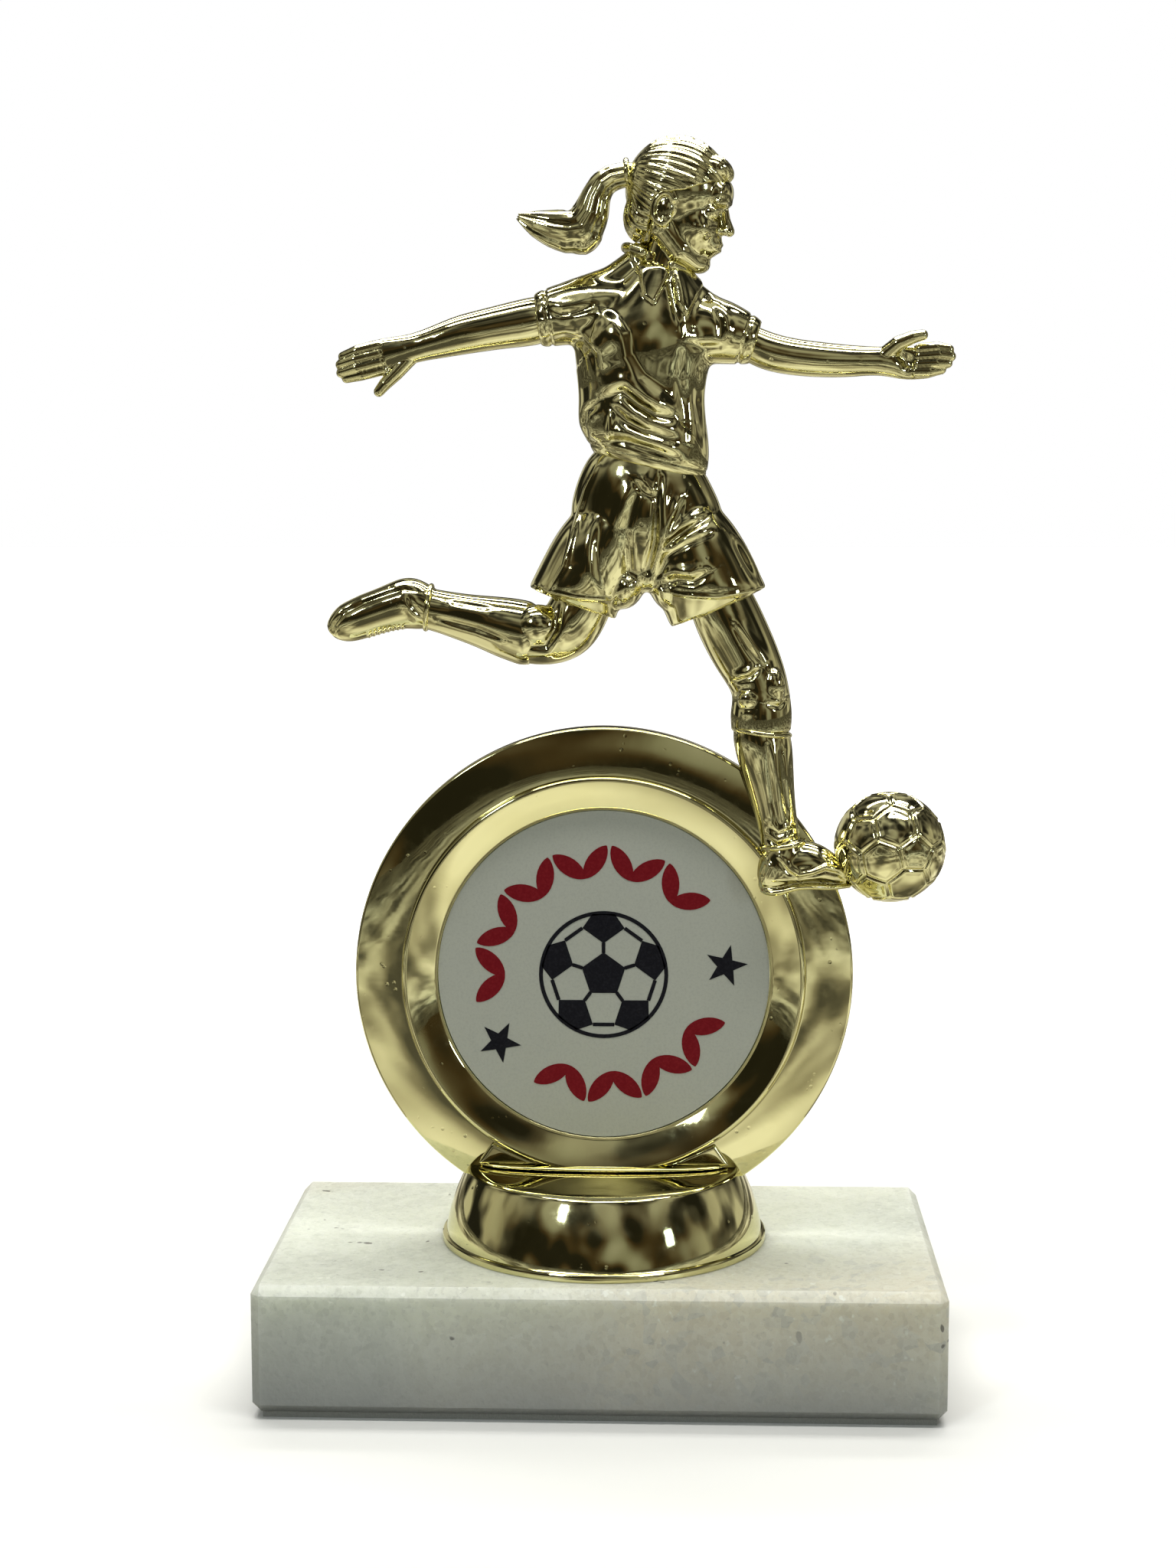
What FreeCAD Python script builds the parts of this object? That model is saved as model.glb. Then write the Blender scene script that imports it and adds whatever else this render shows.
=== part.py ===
import FreeCAD, Part
import os
import Sketcher

# Figure trophy: a soccer figure on an insert ring and a foot, bolted to a marble slab.
# Frame: +Z up, origin on the stud's axis at the underside of the felt, front towards -Y.

doc = FreeCAD.newDocument("FigureTrophy")
sheet = doc.addObject("Spreadsheet::Sheet", "Dims")

# ---- driving dimensions, mm: name, value or formula, what it is ----
dimensions = [
    ("marble_length", 101.6, "slab, left to right"),
    ("marble_depth", 57.15, "slab, front to back"),
    ("marble_height", 19.05, "slab thickness"),
    ("marble_chamfer", 1.3, "broken edges of the slab"),
    ("bore_radius", 4.75, "drilled hole for the stud"),
    ("recess_radius", 11.0, "nut recess below"),
    ("recess_depth", 9.0, "nut recess below"),
    ("felt_thickness", 1.0, "felt sheet"),
    ("felt_inset", 1.5, "felt edge inside the slab's edge"),
    ("foot_radius", 25.0, "lip of the foot"),
    ("foot_height", 11.2, "foot, slab to flat top"),
    ("lip_height", 1.2, "straight lip of the foot"),
    ("lip_step", 0.5, "step from the lip to the bulging wall"),
    ("foot_bulge", 1.6, "how far the wall bows out"),
    ("foot_top_radius", 21.0, "flat top of the foot"),
    ("foot_wall", 2.2, "moulded wall"),
    ("boss_radius", 8.5, "boss round the insert"),
    ("insert_radius", 5.6, "threaded insert, across its corners"),
    ("insert_length", 8.0, "threaded insert"),
    ("thread_clearance", 0.05, "drawn gap between a thread and its nut"),
    ("stud_radius", 3.175, "quarter-inch rod"),
    ("stud_bottom", 2.0, "lower end of the stud"),
    ("stud_chamfer", 0.6, "ends of the stud"),
    ("nut_radius", 6.41, "nut, across corners"),
    ("nut_height", 5.5, "nut"),
    ("washer_radius", 9.0, "washer"),
    ("washer_thickness", 1.6, "washer"),
    ("ring_height", 61.3, "ring centre above the origin"),
    ("ring_radius", 38.1, "outer rim"),
    ("rim_half", 2.1, "half thickness at the rim"),
    ("rim_break", 0.6, "rounded corner of the rim"),
    ("band_half", 2.9, "half thickness where the band meets the step"),
    ("crest_radius", 31.0, "outside of the crest"),
    ("crest_half", 3.8, "half thickness at the crest"),
    ("crest_width", 0.9, "top of the crest"),
    ("lip_radius", 25.9, "inner lip that frames the disc"),
    ("lip_half", 1.9, "half thickness at the lip"),
    ("pocket_radius", 25.5, "pocket that takes the disc"),
    ("web_front", 0.7, "front of the ring's web, forward of centre"),
    ("web_back", 1.2, "back of the web, behind centre"),
    ("disc_radius", 25.4, "printed insert"),
    ("disc_thickness", 0.7, "printed insert"),
    ("adhesive_thickness", 0.2, "adhesive pad"),
    ("adhesive_radius", 22.0, "adhesive pad"),
    ("collar_half_length", 20.5, "collar where the ring meets the foot"),
    ("collar_half_depth", 5.2, "collar"),
    ("collar_height", 1.5, "collar"),
    ("gusset_start", 10.5, "near end of a gusset from the axis"),
    ("gusset_end", 18.6, "far end of a gusset from the axis"),
    ("gusset_height", 3.4, "gusset above the collar"),
    ("gusset_half_depth", 3.6, "gusset"),
    ("ball_radius", 8.35, "ball"),
    ("ball_across", 43.3, "ball centre"),
    ("ball_forward", -3.0, "ball centre"),
    ("ball_up", 81.5, "ball centre"),
    ("marble_half_length", "=marble_length / 2", "slab"),
    ("marble_half_depth", "=marble_depth / 2", "slab"),
    ("felt_half_length", "=marble_length / 2 - felt_inset", "felt"),
    ("felt_half_depth", "=marble_depth / 2 - felt_inset", "felt"),
    ("slab_top", "=felt_thickness + marble_height", "foot stands here"),
    ("lip_top", "=slab_top + lip_height", "foot"),
    ("wall_radius", "=foot_radius - lip_step", "foot"),
    ("foot_top", "=slab_top + foot_height", "foot"),
    ("cavity_radius", "=foot_radius - foot_wall", "hollow of the foot"),
    ("cavity_top_radius", "=foot_top_radius - foot_wall", "hollow of the foot"),
    ("cavity_top", "=foot_top - foot_wall", "hollow of the foot"),
    ("insert_top", "=slab_top + insert_length", "threaded insert"),
    ("recess_top", "=felt_thickness + recess_depth", "washer bears here"),
    ("crest_inner", "=crest_radius - crest_width", "ring"),
    ("rim_inner", "=ring_radius - rim_break", "ring"),
    ("rim_land", "=rim_half - rim_break", "ring"),
    ("collar_top", "=foot_top + collar_height", "collar"),
    ("gusset_top", "=collar_top + gusset_height", "gusset"),
    ("disc_back", "=web_front + adhesive_thickness", "printed insert"),
]

# ---- cross-sections of the figure, mm and degrees ----
# name: across (x), forward or back (y), up (z), heading in the x-z plane, half width, half depth
sections = {
    "shirt_hem": (6.4, 0.0, 138.6, 90, 8.4, 6.2),
    "shirt_blouse": (5.9, 0.0, 143.0, 90, 9.7, 6.9),
    "shirt_waist": (5.6, 0.0, 148.5, 90, 9.2, 6.6),
    "shirt_ribs": (5.8, 0.0, 153.5, 90, 10.2, 7.0),
    "shirt_chest": (6.2, 0.0, 158.5, 90, 10.8, 7.2),
    "shirt_shoulder": (7.0, 0.0, 163.2, 90, 8.6, 5.8),
    "shirt_collar": (8.2, 0.0, 167.0, 90, 4.9, 4.5),
    "trailing_sleeve_root": (1.5, 0.0, 161.0, 188, 5.2, 5.0),
    "trailing_cuff": (-9.8, -0.2, 160.1, 188, 4.1, 4.0),
    "trailing_arm_top": (-9.8, -0.2, 160.1, 188, 3.7, 3.6),
    "trailing_elbow": (-18.8, -0.8, 158.5, 192, 3.1, 2.9),
    "trailing_forearm": (-25.0, -1.0, 157.2, 192, 2.5, 2.3),
    "trailing_wrist": (-29.2, -1.1, 155.9, 192, 2.0, 1.7),
    "trailing_palm": (-34.0, -1.1, 154.8, 190, 2.6, 1.5),
    "trailing_fingers": (-38.2, -1.0, 153.5, 192, 2.5, 1.3),
    "trailing_fingertips": (-40.1, -1.0, 153.1, 192, 1.2, 0.7),
    "trailing_thumb_root": (-30.8, -1.2, 153.6, 230, 1.1, 1.0),
    "trailing_thumb_tip": (-33.7, -1.5, 149.3, 230, 0.7, 0.7),
    "leading_sleeve_root": (13.0, 0.0, 158.8, -12, 5.4, 5.0),
    "leading_cuff": (22.3, -0.2, 157.0, -12, 3.3, 3.3),
    "leading_arm_top": (22.3, -0.2, 157.0, -12, 2.9, 2.9),
    "leading_elbow": (31.6, -0.6, 154.4, -5, 2.65, 2.6),
    "leading_forearm": (37.0, -0.8, 154.0, 0, 2.5, 2.4),
    "leading_wrist": (42.2, -1.0, 154.1, 0, 2.0, 1.8),
    "leading_palm": (46.0, -1.0, 153.8, 3, 2.5, 1.5),
    "leading_fingers": (50.0, -1.0, 154.1, 5, 2.2, 1.2),
    "leading_fingertips": (52.2, -1.0, 154.6, 8, 1.1, 0.7),
    "leading_thumb_root": (43.6, -1.2, 154.9, 34, 1.1, 1.0),
    "leading_thumb_tip": (48.0, -1.6, 158.3, 30, 0.7, 0.7),
    "neck_base": (8.4, 0.2, 164.8, 72, 3.7, 3.6),
    "neck_top": (10.4, 0.2, 172.6, 72, 3.4, 3.4),
    "tail_root": (4.6, 0.3, 181.8, 180, 1.8, 1.7),
    "tail_arch": (0.3, 0.3, 181.0, 205, 1.9, 1.8),
    "tail_fall": (-1.8, 0.3, 178.0, 243, 2.1, 2.0),
    "tail_bulb": (-3.4, 0.3, 173.6, 258, 3.2, 2.6),
    "tail_low": (-3.8, 0.3, 170.8, 262, 1.6, 1.4),
    "flip_root": (-2.8, 0.3, 173.4, 178, 2.6, 2.2),
    "flip_middle": (-7.4, 0.3, 173.6, 172, 2.2, 1.9),
    "flip_tip": (-12.6, 0.3, 175.6, 150, 0.5, 0.5),
    "shorts_waist": (6.4, 0.0, 138.6, 270, 8.0, 6.0),
    "shorts_hips": (6.5, 0.0, 132.5, 270, 10.6, 6.9),
    "shorts_seat": (6.7, 0.0, 126.5, 270, 10.0, 6.2),
    "shorts_fork": (6.8, 0.0, 123.5, 270, 4.0, 4.0),
    "kicking_hip": (2.6, 0.0, 132.5, 258, 6.2, 6.0),
    "kicking_short": (-1.2, 0.0, 125.5, 251, 6.5, 6.4),
    "kicking_hem": (-5.0, 0.0, 117.9, 246, 6.6, 6.4),
    "standing_hip": (10.8, 0.0, 132.5, 280, 6.4, 6.0),
    "standing_short": (14.2, 0.0, 125.5, 287, 7.2, 6.6),
    "standing_hem": (17.4, 0.0, 117.0, 293, 7.5, 6.6),
    "kicking_thigh": (-3.6, 0.0, 117.28, 246, 4.7, 4.7),
    "kicking_knee": (-7.2, 0.1, 112.6, 210, 4.7, 4.5),
    "kicking_shin": (-12.4, 0.2, 113.7, 168, 4.8, 4.4),
    "kicking_calf": (-17.2, 0.3, 115.0, 166, 4.2, 4.0),
    "kicking_sock_low": (-22.0, 0.4, 116.1, 166, 3.5, 3.4),
    "kicking_ankle": (-27.0, 0.4, 117.4, 170, 3.1, 3.0),
    "kicking_boot_top": (-27.0, 0.4, 117.4, 170, 3.4, 3.2),
    "kicking_heel": (-29.8, 0.4, 118.0, 180, 4.0, 3.4),
    "kicking_instep": (-34.0, 0.4, 116.6, 190, 3.4, 3.1),
    "kicking_ball_of_foot": (-38.2, 0.4, 115.2, 200, 3.2, 2.8),
    "kicking_toe": (-41.3, 0.4, 113.9, 205, 1.6, 1.5),
    "standing_thigh": (18.5, -0.2, 117.47, 293, 5.1, 4.9),
    "standing_thigh_low": (21.4, -0.8, 110.6, 292, 4.9, 4.7),
    "standing_knee": (23.8, -1.4, 105.2, 277, 4.4, 4.4),
    "standing_shin": (23.7, -1.8, 101.6, 270, 4.8, 4.5),
    "standing_sock_top": (23.8, -2.0, 99.7, 270, 4.6, 4.4),
    "standing_band_top": (23.8, -2.0, 99.7, 270, 4.9, 4.7),
    "standing_band_low": (23.9, -2.1, 97.9, 270, 4.7, 4.5),
    "standing_sock": (23.9, -2.1, 97.9, 270, 4.4, 4.2),
    "standing_calf": (25.2, -2.5, 92.0, 280, 3.9, 3.7),
    "standing_sock_low": (26.4, -2.9, 86.5, 280, 3.1, 3.0),
    "standing_ankle": (27.2, -3.2, 81.6, 275, 2.9, 2.8),
    "standing_boot_top": (27.2, -3.2, 81.6, 275, 3.3, 3.2),
    "standing_boot_low": (27.2, -3.3, 76.6, 270, 3.3, 3.2),
    "standing_heel_end": (23.4, -3.3, 77.0, 0, 1.8, 1.8),
    "standing_heel": (25.6, -3.3, 77.0, 0, 3.1, 3.0),
    "standing_instep": (30.0, -3.3, 77.5, -4, 3.3, 3.1),
    "standing_ball_of_foot": (34.6, -3.2, 76.4, -8, 2.2, 2.2),
    "standing_toe": (38.4, -3.0, 75.7, -8, 1.2, 1.2),
}

# ---- blobs of the figure: centre (x, y, z), turn about y, radii along, across and deep ----
blobs = {
    "head": (12.4, 0.0, 175.6, 18, 8.9, 6.3, 6.1),
    "hair": (10.8, 0.0, 179.4, 40, 7.0, 7.4, 6.8),
}

sectionColumns = ("across", "forward", "up", "heading", "wide", "deep")
blobColumns = ("across", "forward", "up", "turn", "long", "wide", "deep")


def fillSheet():
    row = 1
    for alias, value, note in dimensions:
        row = fillRow(row, alias, value, note)
    for table, columns in ((sections, sectionColumns), (blobs, blobColumns)):
        for name, values in table.items():
            for column, value in zip(columns, values):
                row = fillRow(row, f"{name}_{column}", value, name.replace("_", " "))
    doc.recompute()


def fillRow(row, alias, value, note):
    sheet.set(f"A{row}", note)
    sheet.set(f"B{row}", str(value))
    sheet.setAlias(f"B{row}", alias)
    return row + 1


def cell(alias):
    """Value of a cell; a leading minus gives the negative."""
    sign = -1 if alias.startswith("-") else 1
    return sign * float(sheet.get(alias.lstrip("-")))


def driven(alias):
    sign = "-" if alias.startswith("-") else ""
    return f"{sign}Dims.{alias.lstrip('-')}"


def bind(thing, prop, alias):
    thing.setExpression(prop, driven(alias))


# ---- building helpers ----
parts = []


def keep(thing, label):
    thing.Label = label
    parts.append(thing)
    return thing


def newBody(name):
    return doc.addObject("PartDesign::Body", name + "_body")


def outline(body, role, corners):
    """Sketch of a closed outline. A corner is (x cell, y cell) or (x cell, y cell, bow cell),
    where None stands for the axis and a bow makes the next side an arc."""
    sketch = body.newObject("Sketcher::SketchObject", body.Name + "_sketch")
    plane = next(f for f in body.Origin.OriginFeatures if f.Role == role)
    sketch.AttachmentSupport = [(plane, "")]
    sketch.MapMode = "FlatFace"
    places = [FreeCAD.Vector(*[cell(c) if c else 0.0 for c in corner[:2]], 0) for corner in corners]
    starts = []
    ends = []
    for i, corner in enumerate(corners):
        first = places[i]
        last = places[(i + 1) % len(corners)]
        if len(corner) == 3:
            side = (last - first).cross(FreeCAD.Vector(0, 0, 1)).normalize()
            middle = (first + last) / 2 + side * cell(corner[2])
            side = Part.Arc(first, middle, last)
        else:
            side = Part.LineSegment(first, last)
        number = sketch.addGeometry(side, False)
        forward = sketch.getPoint(number, 1).isEqual(first, 1e-6)
        starts.append((number, 1 if forward else 2))
        ends.append((number, 2 if forward else 1))
    for i, corner in enumerate(corners):
        join = (*ends[i - 1], *starts[i])
        sketch.addConstraint(Sketcher.Constraint("Coincident", *join))
        for kind, axis, name, value in zip(("DistanceX", "DistanceY"), (-2, -1), corner, places[i]):
            if name is None:
                sketch.addConstraint(Sketcher.Constraint("PointOnObject", *starts[i], axis))
                continue
            rule = Sketcher.Constraint(kind, -1, 1, *starts[i], value)
            sketch.setExpression(f"Constraints[{sketch.addConstraint(rule)}]", driven(name))
        if len(corner) == 3:
            radius = sketch.Geometry[starts[i][0]].Radius
            sketch.addConstraint(Sketcher.Constraint("Radius", starts[i][0], radius))
    return sketch


def rectangle(body, halfLength, halfDepth):
    corners = [("-" + halfLength, "-" + halfDepth), (halfLength, "-" + halfDepth)]
    corners += [(halfLength, halfDepth), ("-" + halfLength, halfDepth)]
    return outline(body, "XY_Plane", corners)


def disc(body, name, radius):
    sketch = body.newObject("Sketcher::SketchObject", name)
    plane = next(f for f in body.Origin.OriginFeatures if f.Role == "XY_Plane")
    sketch.AttachmentSupport = [(plane, "")]
    sketch.MapMode = "FlatFace"
    circle = Part.Circle(FreeCAD.Vector(0, 0, 0), FreeCAD.Vector(0, 0, 1), cell(radius))
    sketch.addGeometry(circle, False)
    sketch.addConstraint(Sketcher.Constraint("Coincident", 0, 3, -1, 1))
    rule = sketch.addConstraint(Sketcher.Constraint("Radius", 0, cell(radius)))
    sketch.setExpression(f"Constraints[{rule}]", driven(radius))
    return sketch


def pad(body, sketch, length):
    feature = body.newObject("PartDesign::Pad", body.Name + "_pad")
    feature.Profile = sketch
    bind(feature, "Length", length)
    sketch.Visibility = False
    return feature


def revolve(body, sketch):
    feature = body.newObject("PartDesign::Revolution", body.Name + "_turn")
    feature.Profile = sketch
    feature.ReferenceAxis = (sketch, ["V_Axis"])
    feature.Angle = 360
    return feature


def cylinder(name, radius, height, base):
    solid = doc.addObject("Part::Cylinder", name)
    bind(solid, "Radius", radius)
    bind(solid, "Height", height)
    bind(solid, "Placement.Base.z", base)
    return solid


def hexagon(name, radius, height, base):
    solid = doc.addObject("Part::Prism", name)
    solid.Polygon = 6
    bind(solid, "Circumradius", radius)
    bind(solid, "Height", height)
    bind(solid, "Placement.Base.z", base)
    return solid


def cut(name, base, tool):
    solid = doc.addObject("Part::Cut", name)
    solid.Base = base
    solid.Tool = tool
    return solid


def fuse(name, *pieces):
    solid = doc.addObject("Part::MultiFuse", name)
    solid.Shapes = list(pieces)
    return solid


sectionRings = {}


def ringAt(name):
    """Ellipse across a limb: its long axis in the x-z plane, its short axis front to back."""
    if name not in sectionRings:
        ring = doc.addObject("Part::Ellipse", name + "_ring")
        across, forward, up, heading, wide, deep = sections[name]
        turn = FreeCAD.Rotation(FreeCAD.Vector(0, 1, 0), 90 - heading)
        ring.Placement = FreeCAD.Placement(FreeCAD.Vector(across, forward, up), turn)
        for prop, column in zip("xyz", sectionColumns):
            bind(ring, f"Placement.Base.{prop}", f"{name}_{column}")
        bind(ring, "MajorRadius", f"{name}_wide")
        bind(ring, "MinorRadius", f"{name}_deep")
        sectionRings[name] = ring
    return sectionRings[name]


def limb(name, *stations):
    loft = doc.addObject("Part::Loft", name)
    loft.Sections = [ringAt(station) for station in stations]
    loft.Solid = True
    loft.Ruled = False
    return loft


def blob(name):
    across, forward, up, turn, length, wide, deep = blobs[name]
    solid = doc.addObject("Part::Ellipsoid", name + "_blob")
    rotation = FreeCAD.Rotation(FreeCAD.Vector(0, 1, 0), turn)
    solid.Placement = FreeCAD.Placement(FreeCAD.Vector(across, forward, up), rotation)
    for prop, column in zip("xyz", blobColumns):
        bind(solid, f"Placement.Base.{prop}", f"{name}_{column}")
    for prop, column in (("Radius1", "long"), ("Radius2", "wide"), ("Radius3", "deep")):
        bind(solid, prop, f"{name}_{column}")
    return solid


# ---- the slab and what is under it ----
def marbleBase():
    body = newBody("marble_base")
    slab = pad(body, rectangle(body, "marble_half_length", "marble_half_depth"), "marble_height")
    doc.recompute()
    edges = body.newObject("PartDesign::Chamfer", "marble_edges")
    edges.Base = (slab, [f"Edge{i + 1}" for i in range(len(slab.Shape.Edges))])
    bind(edges, "Size", "marble_chamfer")
    body.Tip = edges
    holes = [("bore", "bore_radius", "marble_height"), ("recess", "recess_radius", "recess_depth")]
    for name, radius, depth in holes:
        pocket = body.newObject("PartDesign::Pocket", name)
        pocket.Profile = disc(body, name + "_sketch", radius)
        bind(pocket, "Length", depth)
        pocket.Reversed = True
        body.Tip = pocket
    bind(body, "Placement.Base.z", "felt_thickness")
    return keep(body, "marble_base")


def feltSheet():
    body = newBody("felt_sheet")
    pad(body, rectangle(body, "felt_half_length", "felt_half_depth"), "felt_thickness")
    return keep(body, "felt_sheet")


def fasteners():
    stud = doc.addObject("Part::Cylinder", "stud_rod")
    bind(stud, "Radius", "stud_radius")
    stud.setExpression("Height", "Dims.insert_top - Dims.stud_bottom")
    bind(stud, "Placement.Base.z", "stud_bottom")
    doc.recompute()
    ends = doc.addObject("Part::Chamfer", "stud_ends")
    ends.Base = stud
    rims = [i + 1 for i, edge in enumerate(stud.Shape.Edges) if edge.Closed]
    ends.Edges = [(i, cell("stud_chamfer"), cell("stud_chamfer")) for i in rims]
    keep(ends, "stud")
    thread = doc.addObject("Part::Cylinder", "thread_core")
    thread.setExpression("Radius", "Dims.stud_radius + Dims.thread_clearance")
    bind(thread, "Height", "foot_top")
    keep(cut("threaded_insert", hexagon("insert_hex", "insert_radius", "insert_length", "slab_top"), thread),
         "threaded_insert")
    washer = cylinder("washer_disc", "washer_radius", "washer_thickness", "recess_top")
    washer.setExpression("Placement.Base.z", "Dims.recess_top - Dims.washer_thickness")
    keep(cut("washer", washer, thread), "washer")
    nut = hexagon("nut_hex", "nut_radius", "nut_height", "recess_top")
    nut.setExpression("Placement.Base.z", "Dims.recess_top - Dims.washer_thickness - Dims.nut_height")
    keep(cut("hex_nut", nut, thread), "hex_nut")


# ---- foot, ring and disc ----
def foot():
    envelope = newBody("foot_envelope")
    corners = [(None, "slab_top"), ("foot_radius", "slab_top"), ("foot_radius", "lip_top")]
    corners += [("wall_radius", "lip_top", "foot_bulge"), ("foot_top_radius", "foot_top"), (None, "foot_top")]
    revolve(envelope, outline(envelope, "XZ_Plane", corners))
    hollow = newBody("foot_hollow")
    corners = [("boss_radius", "slab_top"), ("cavity_radius", "slab_top"), ("cavity_radius", "lip_top")]
    corners += [("cavity_top_radius", "cavity_top"), ("boss_radius", "cavity_top")]
    revolve(hollow, outline(hollow, "XZ_Plane", corners))
    pocket = cylinder("insert_pocket", "insert_radius", "insert_length", "slab_top")
    shell = cut("foot_walls", envelope, hollow)
    keep(cut("foot_shell", shell, pocket), "foot_shell")
    return envelope


def facingFront(body):
    """Turns a body made about its own Z so that its +Z faces the front, at the ring's centre."""
    turn = FreeCAD.Rotation(FreeCAD.Vector(1, 0, 0), 90)
    body.Placement = FreeCAD.Placement(FreeCAD.Vector(0, 0, cell("ring_height")), turn)
    bind(body, "Placement.Base.z", "ring_height")
    return body


def insertRing(footEnvelope):
    ring = newBody("ring_full")
    front = [("pocket_radius", "web_front"), ("pocket_radius", "lip_half"), ("lip_radius", "lip_half")]
    front += [("crest_inner", "crest_half"), ("crest_radius", "crest_half"), ("crest_radius", "band_half")]
    front += [("rim_inner", "rim_half"), ("ring_radius", "rim_land")]
    back = [("ring_radius", "-rim_land"), ("rim_inner", "-rim_half"), ("crest_radius", "-band_half")]
    back += [("crest_radius", "-crest_half"), ("crest_inner", "-crest_half"), ("lip_radius", "-lip_half")]
    back += [("pocket_radius", "-lip_half"), ("pocket_radius", "-web_back")]
    corners = [(None, "-web_back"), (None, "web_front")] + front + back
    revolve(ring, outline(ring, "XZ_Plane", corners))
    facingFront(ring)
    keep(cut("insert_ring", ring, footEnvelope), "insert_ring")
    return ring


def ringFixings(ring):
    """Collar round the foot of the ring, and the two gussets that stand on it."""
    collar = doc.addObject("Part::Box", "collar_block")
    collar.setExpression("Length", "2 * Dims.collar_half_length")
    collar.setExpression("Width", "2 * Dims.collar_half_depth")
    bind(collar, "Height", "collar_height")
    bind(collar, "Placement.Base.x", "-collar_half_length")
    bind(collar, "Placement.Base.y", "-collar_half_depth")
    bind(collar, "Placement.Base.z", "foot_top")
    keep(cut("ring_collar", collar, ring), "ring_collar")
    wedges = []
    for side, sign in (("left", "-"), ("right", "")):
        body = newBody(side + "_wedge")
        corners = [(sign + "gusset_start", "collar_top"), (sign + "gusset_end", "collar_top")]
        corners += [(sign + "gusset_end", "gusset_top")]
        wedge = pad(body, outline(body, "XZ_Plane", corners), "gusset_half_depth")
        wedge.setExpression("Length", "2 * Dims.gusset_half_depth")
        wedge.Midplane = True
        wedges.append(body)
    keep(cut("ring_gussets", fuse("wedges", *wedges), ring), "ring_gussets")


def discAndPad():
    for name, radius, thickness, back in (
        ("disc_adhesive", "adhesive_radius", "adhesive_thickness", "web_front"),
        ("insert_disc", "disc_radius", "disc_thickness", "disc_back"),
    ):
        body = newBody(name)
        pad(body, disc(body, name + "_sketch", radius), thickness)
        facingFront(body)
        bind(body, "Placement.Base.y", "-" + back)
        keep(body, name)


# ---- the figure ----
def torso():
    shirt = limb("shirt", "shirt_hem", "shirt_blouse", "shirt_waist", "shirt_ribs", "shirt_chest",
                 "shirt_shoulder", "shirt_collar")
    keep(shirt, "shirt")
    for side in ("trailing", "leading"):
        sleeve = limb(f"{side}_sleeve_full", f"{side}_sleeve_root", f"{side}_cuff")
        keep(cut(f"{side}_sleeve", sleeve, shirt), f"{side}_sleeve")
        arm = limb(f"{side}_arm", *[f"{side}_{at}" for at in ("arm_top", "elbow", "forearm", "wrist")])
        keep(arm, f"{side}_arm")
        palm = limb(f"{side}_palm", *[f"{side}_{at}" for at in ("wrist", "palm", "fingers", "fingertips")])
        thumb = limb(f"{side}_thumb", f"{side}_thumb_root", f"{side}_thumb_tip")
        keep(cut(f"{side}_hand", fuse(f"{side}_hand_full", palm, thumb), arm), f"{side}_hand")
    return shirt


def headAndHair(shirt):
    hair = blob("hair")
    keep(hair, "hair")
    head = cut("head", blob("head"), hair)
    keep(head, "head")
    neck = limb("neck_full", "neck_base", "neck_top")
    bare = cut("neck_clear", neck, fuse("head_mass", head, hair))
    keep(cut("neck", bare, shirt), "neck")
    fall = limb("tail_hang", "tail_root", "tail_arch", "tail_fall", "tail_bulb", "tail_low")
    flip = limb("tail_flip", "flip_root", "flip_middle", "flip_tip")
    keep(cut("ponytail", fuse("tail_full", fall, flip), hair), "ponytail")


def shorts():
    seat = limb("shorts_seat_full", "shorts_waist", "shorts_hips", "shorts_seat", "shorts_fork")
    kicking = limb("kicking_short_leg", "kicking_hip", "kicking_short", "kicking_hem")
    standing = limb("standing_short_leg", "standing_hip", "standing_short", "standing_hem")
    return keep(fuse("shorts", seat, kicking, standing), "shorts")


def kickingLeg(shortsSolid):
    thigh = limb("kicking_thigh_full", "kicking_thigh", "kicking_knee", "kicking_shin")
    keep(cut("kicking_thigh", thigh, shortsSolid), "kicking_thigh")
    keep(limb("kicking_sock", "kicking_shin", "kicking_calf", "kicking_sock_low", "kicking_ankle"), "kicking_sock")
    stations = ("boot_top", "heel", "instep", "ball_of_foot", "toe")
    keep(limb("kicking_boot", *[f"kicking_{at}" for at in stations]), "kicking_boot")


def standingLeg(ring, shortsSolid, ball):
    stations = ("thigh", "thigh_low", "knee", "shin", "sock_top")
    thigh = limb("standing_thigh_full", *[f"standing_{at}" for at in stations])
    keep(cut("standing_thigh", thigh, shortsSolid), "standing_thigh")
    keep(limb("standing_sock_band", "standing_band_top", "standing_band_low"), "standing_sock_band")
    sock = limb("standing_sock_full", *[f"standing_{at}" for at in ("sock", "calf", "sock_low", "ankle")])
    keep(cut("standing_sock", sock, ring), "standing_sock")
    shaft = limb("boot_shaft", "standing_boot_top", "standing_boot_low")
    stations = ("heel_end", "heel", "instep", "ball_of_foot", "toe")
    shoe = limb("boot_shoe", *[f"standing_{at}" for at in stations])
    boot = cut("boot_on_ring", fuse("boot_full", shaft, shoe), fuse("boot_neighbours", ring, ball))
    keep(cut("standing_boot", boot, sock), "standing_boot")


def gameBall():
    ball = doc.addObject("Part::Sphere", "ball_solid")
    bind(ball, "Radius", "ball_radius")
    for prop, column in zip("xyz", ("ball_across", "ball_forward", "ball_up")):
        bind(ball, f"Placement.Base.{prop}", column)
    return keep(ball, "ball")


fillSheet()
marbleBase()
feltSheet()
fasteners()
ringBody = insertRing(foot())
ringFixings(ringBody)
discAndPad()
headAndHair(torso())
shortsBody = shorts()
kickingLeg(shortsBody)
standingLeg(ringBody, shortsBody, gameBall())
doc.recompute()

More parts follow.
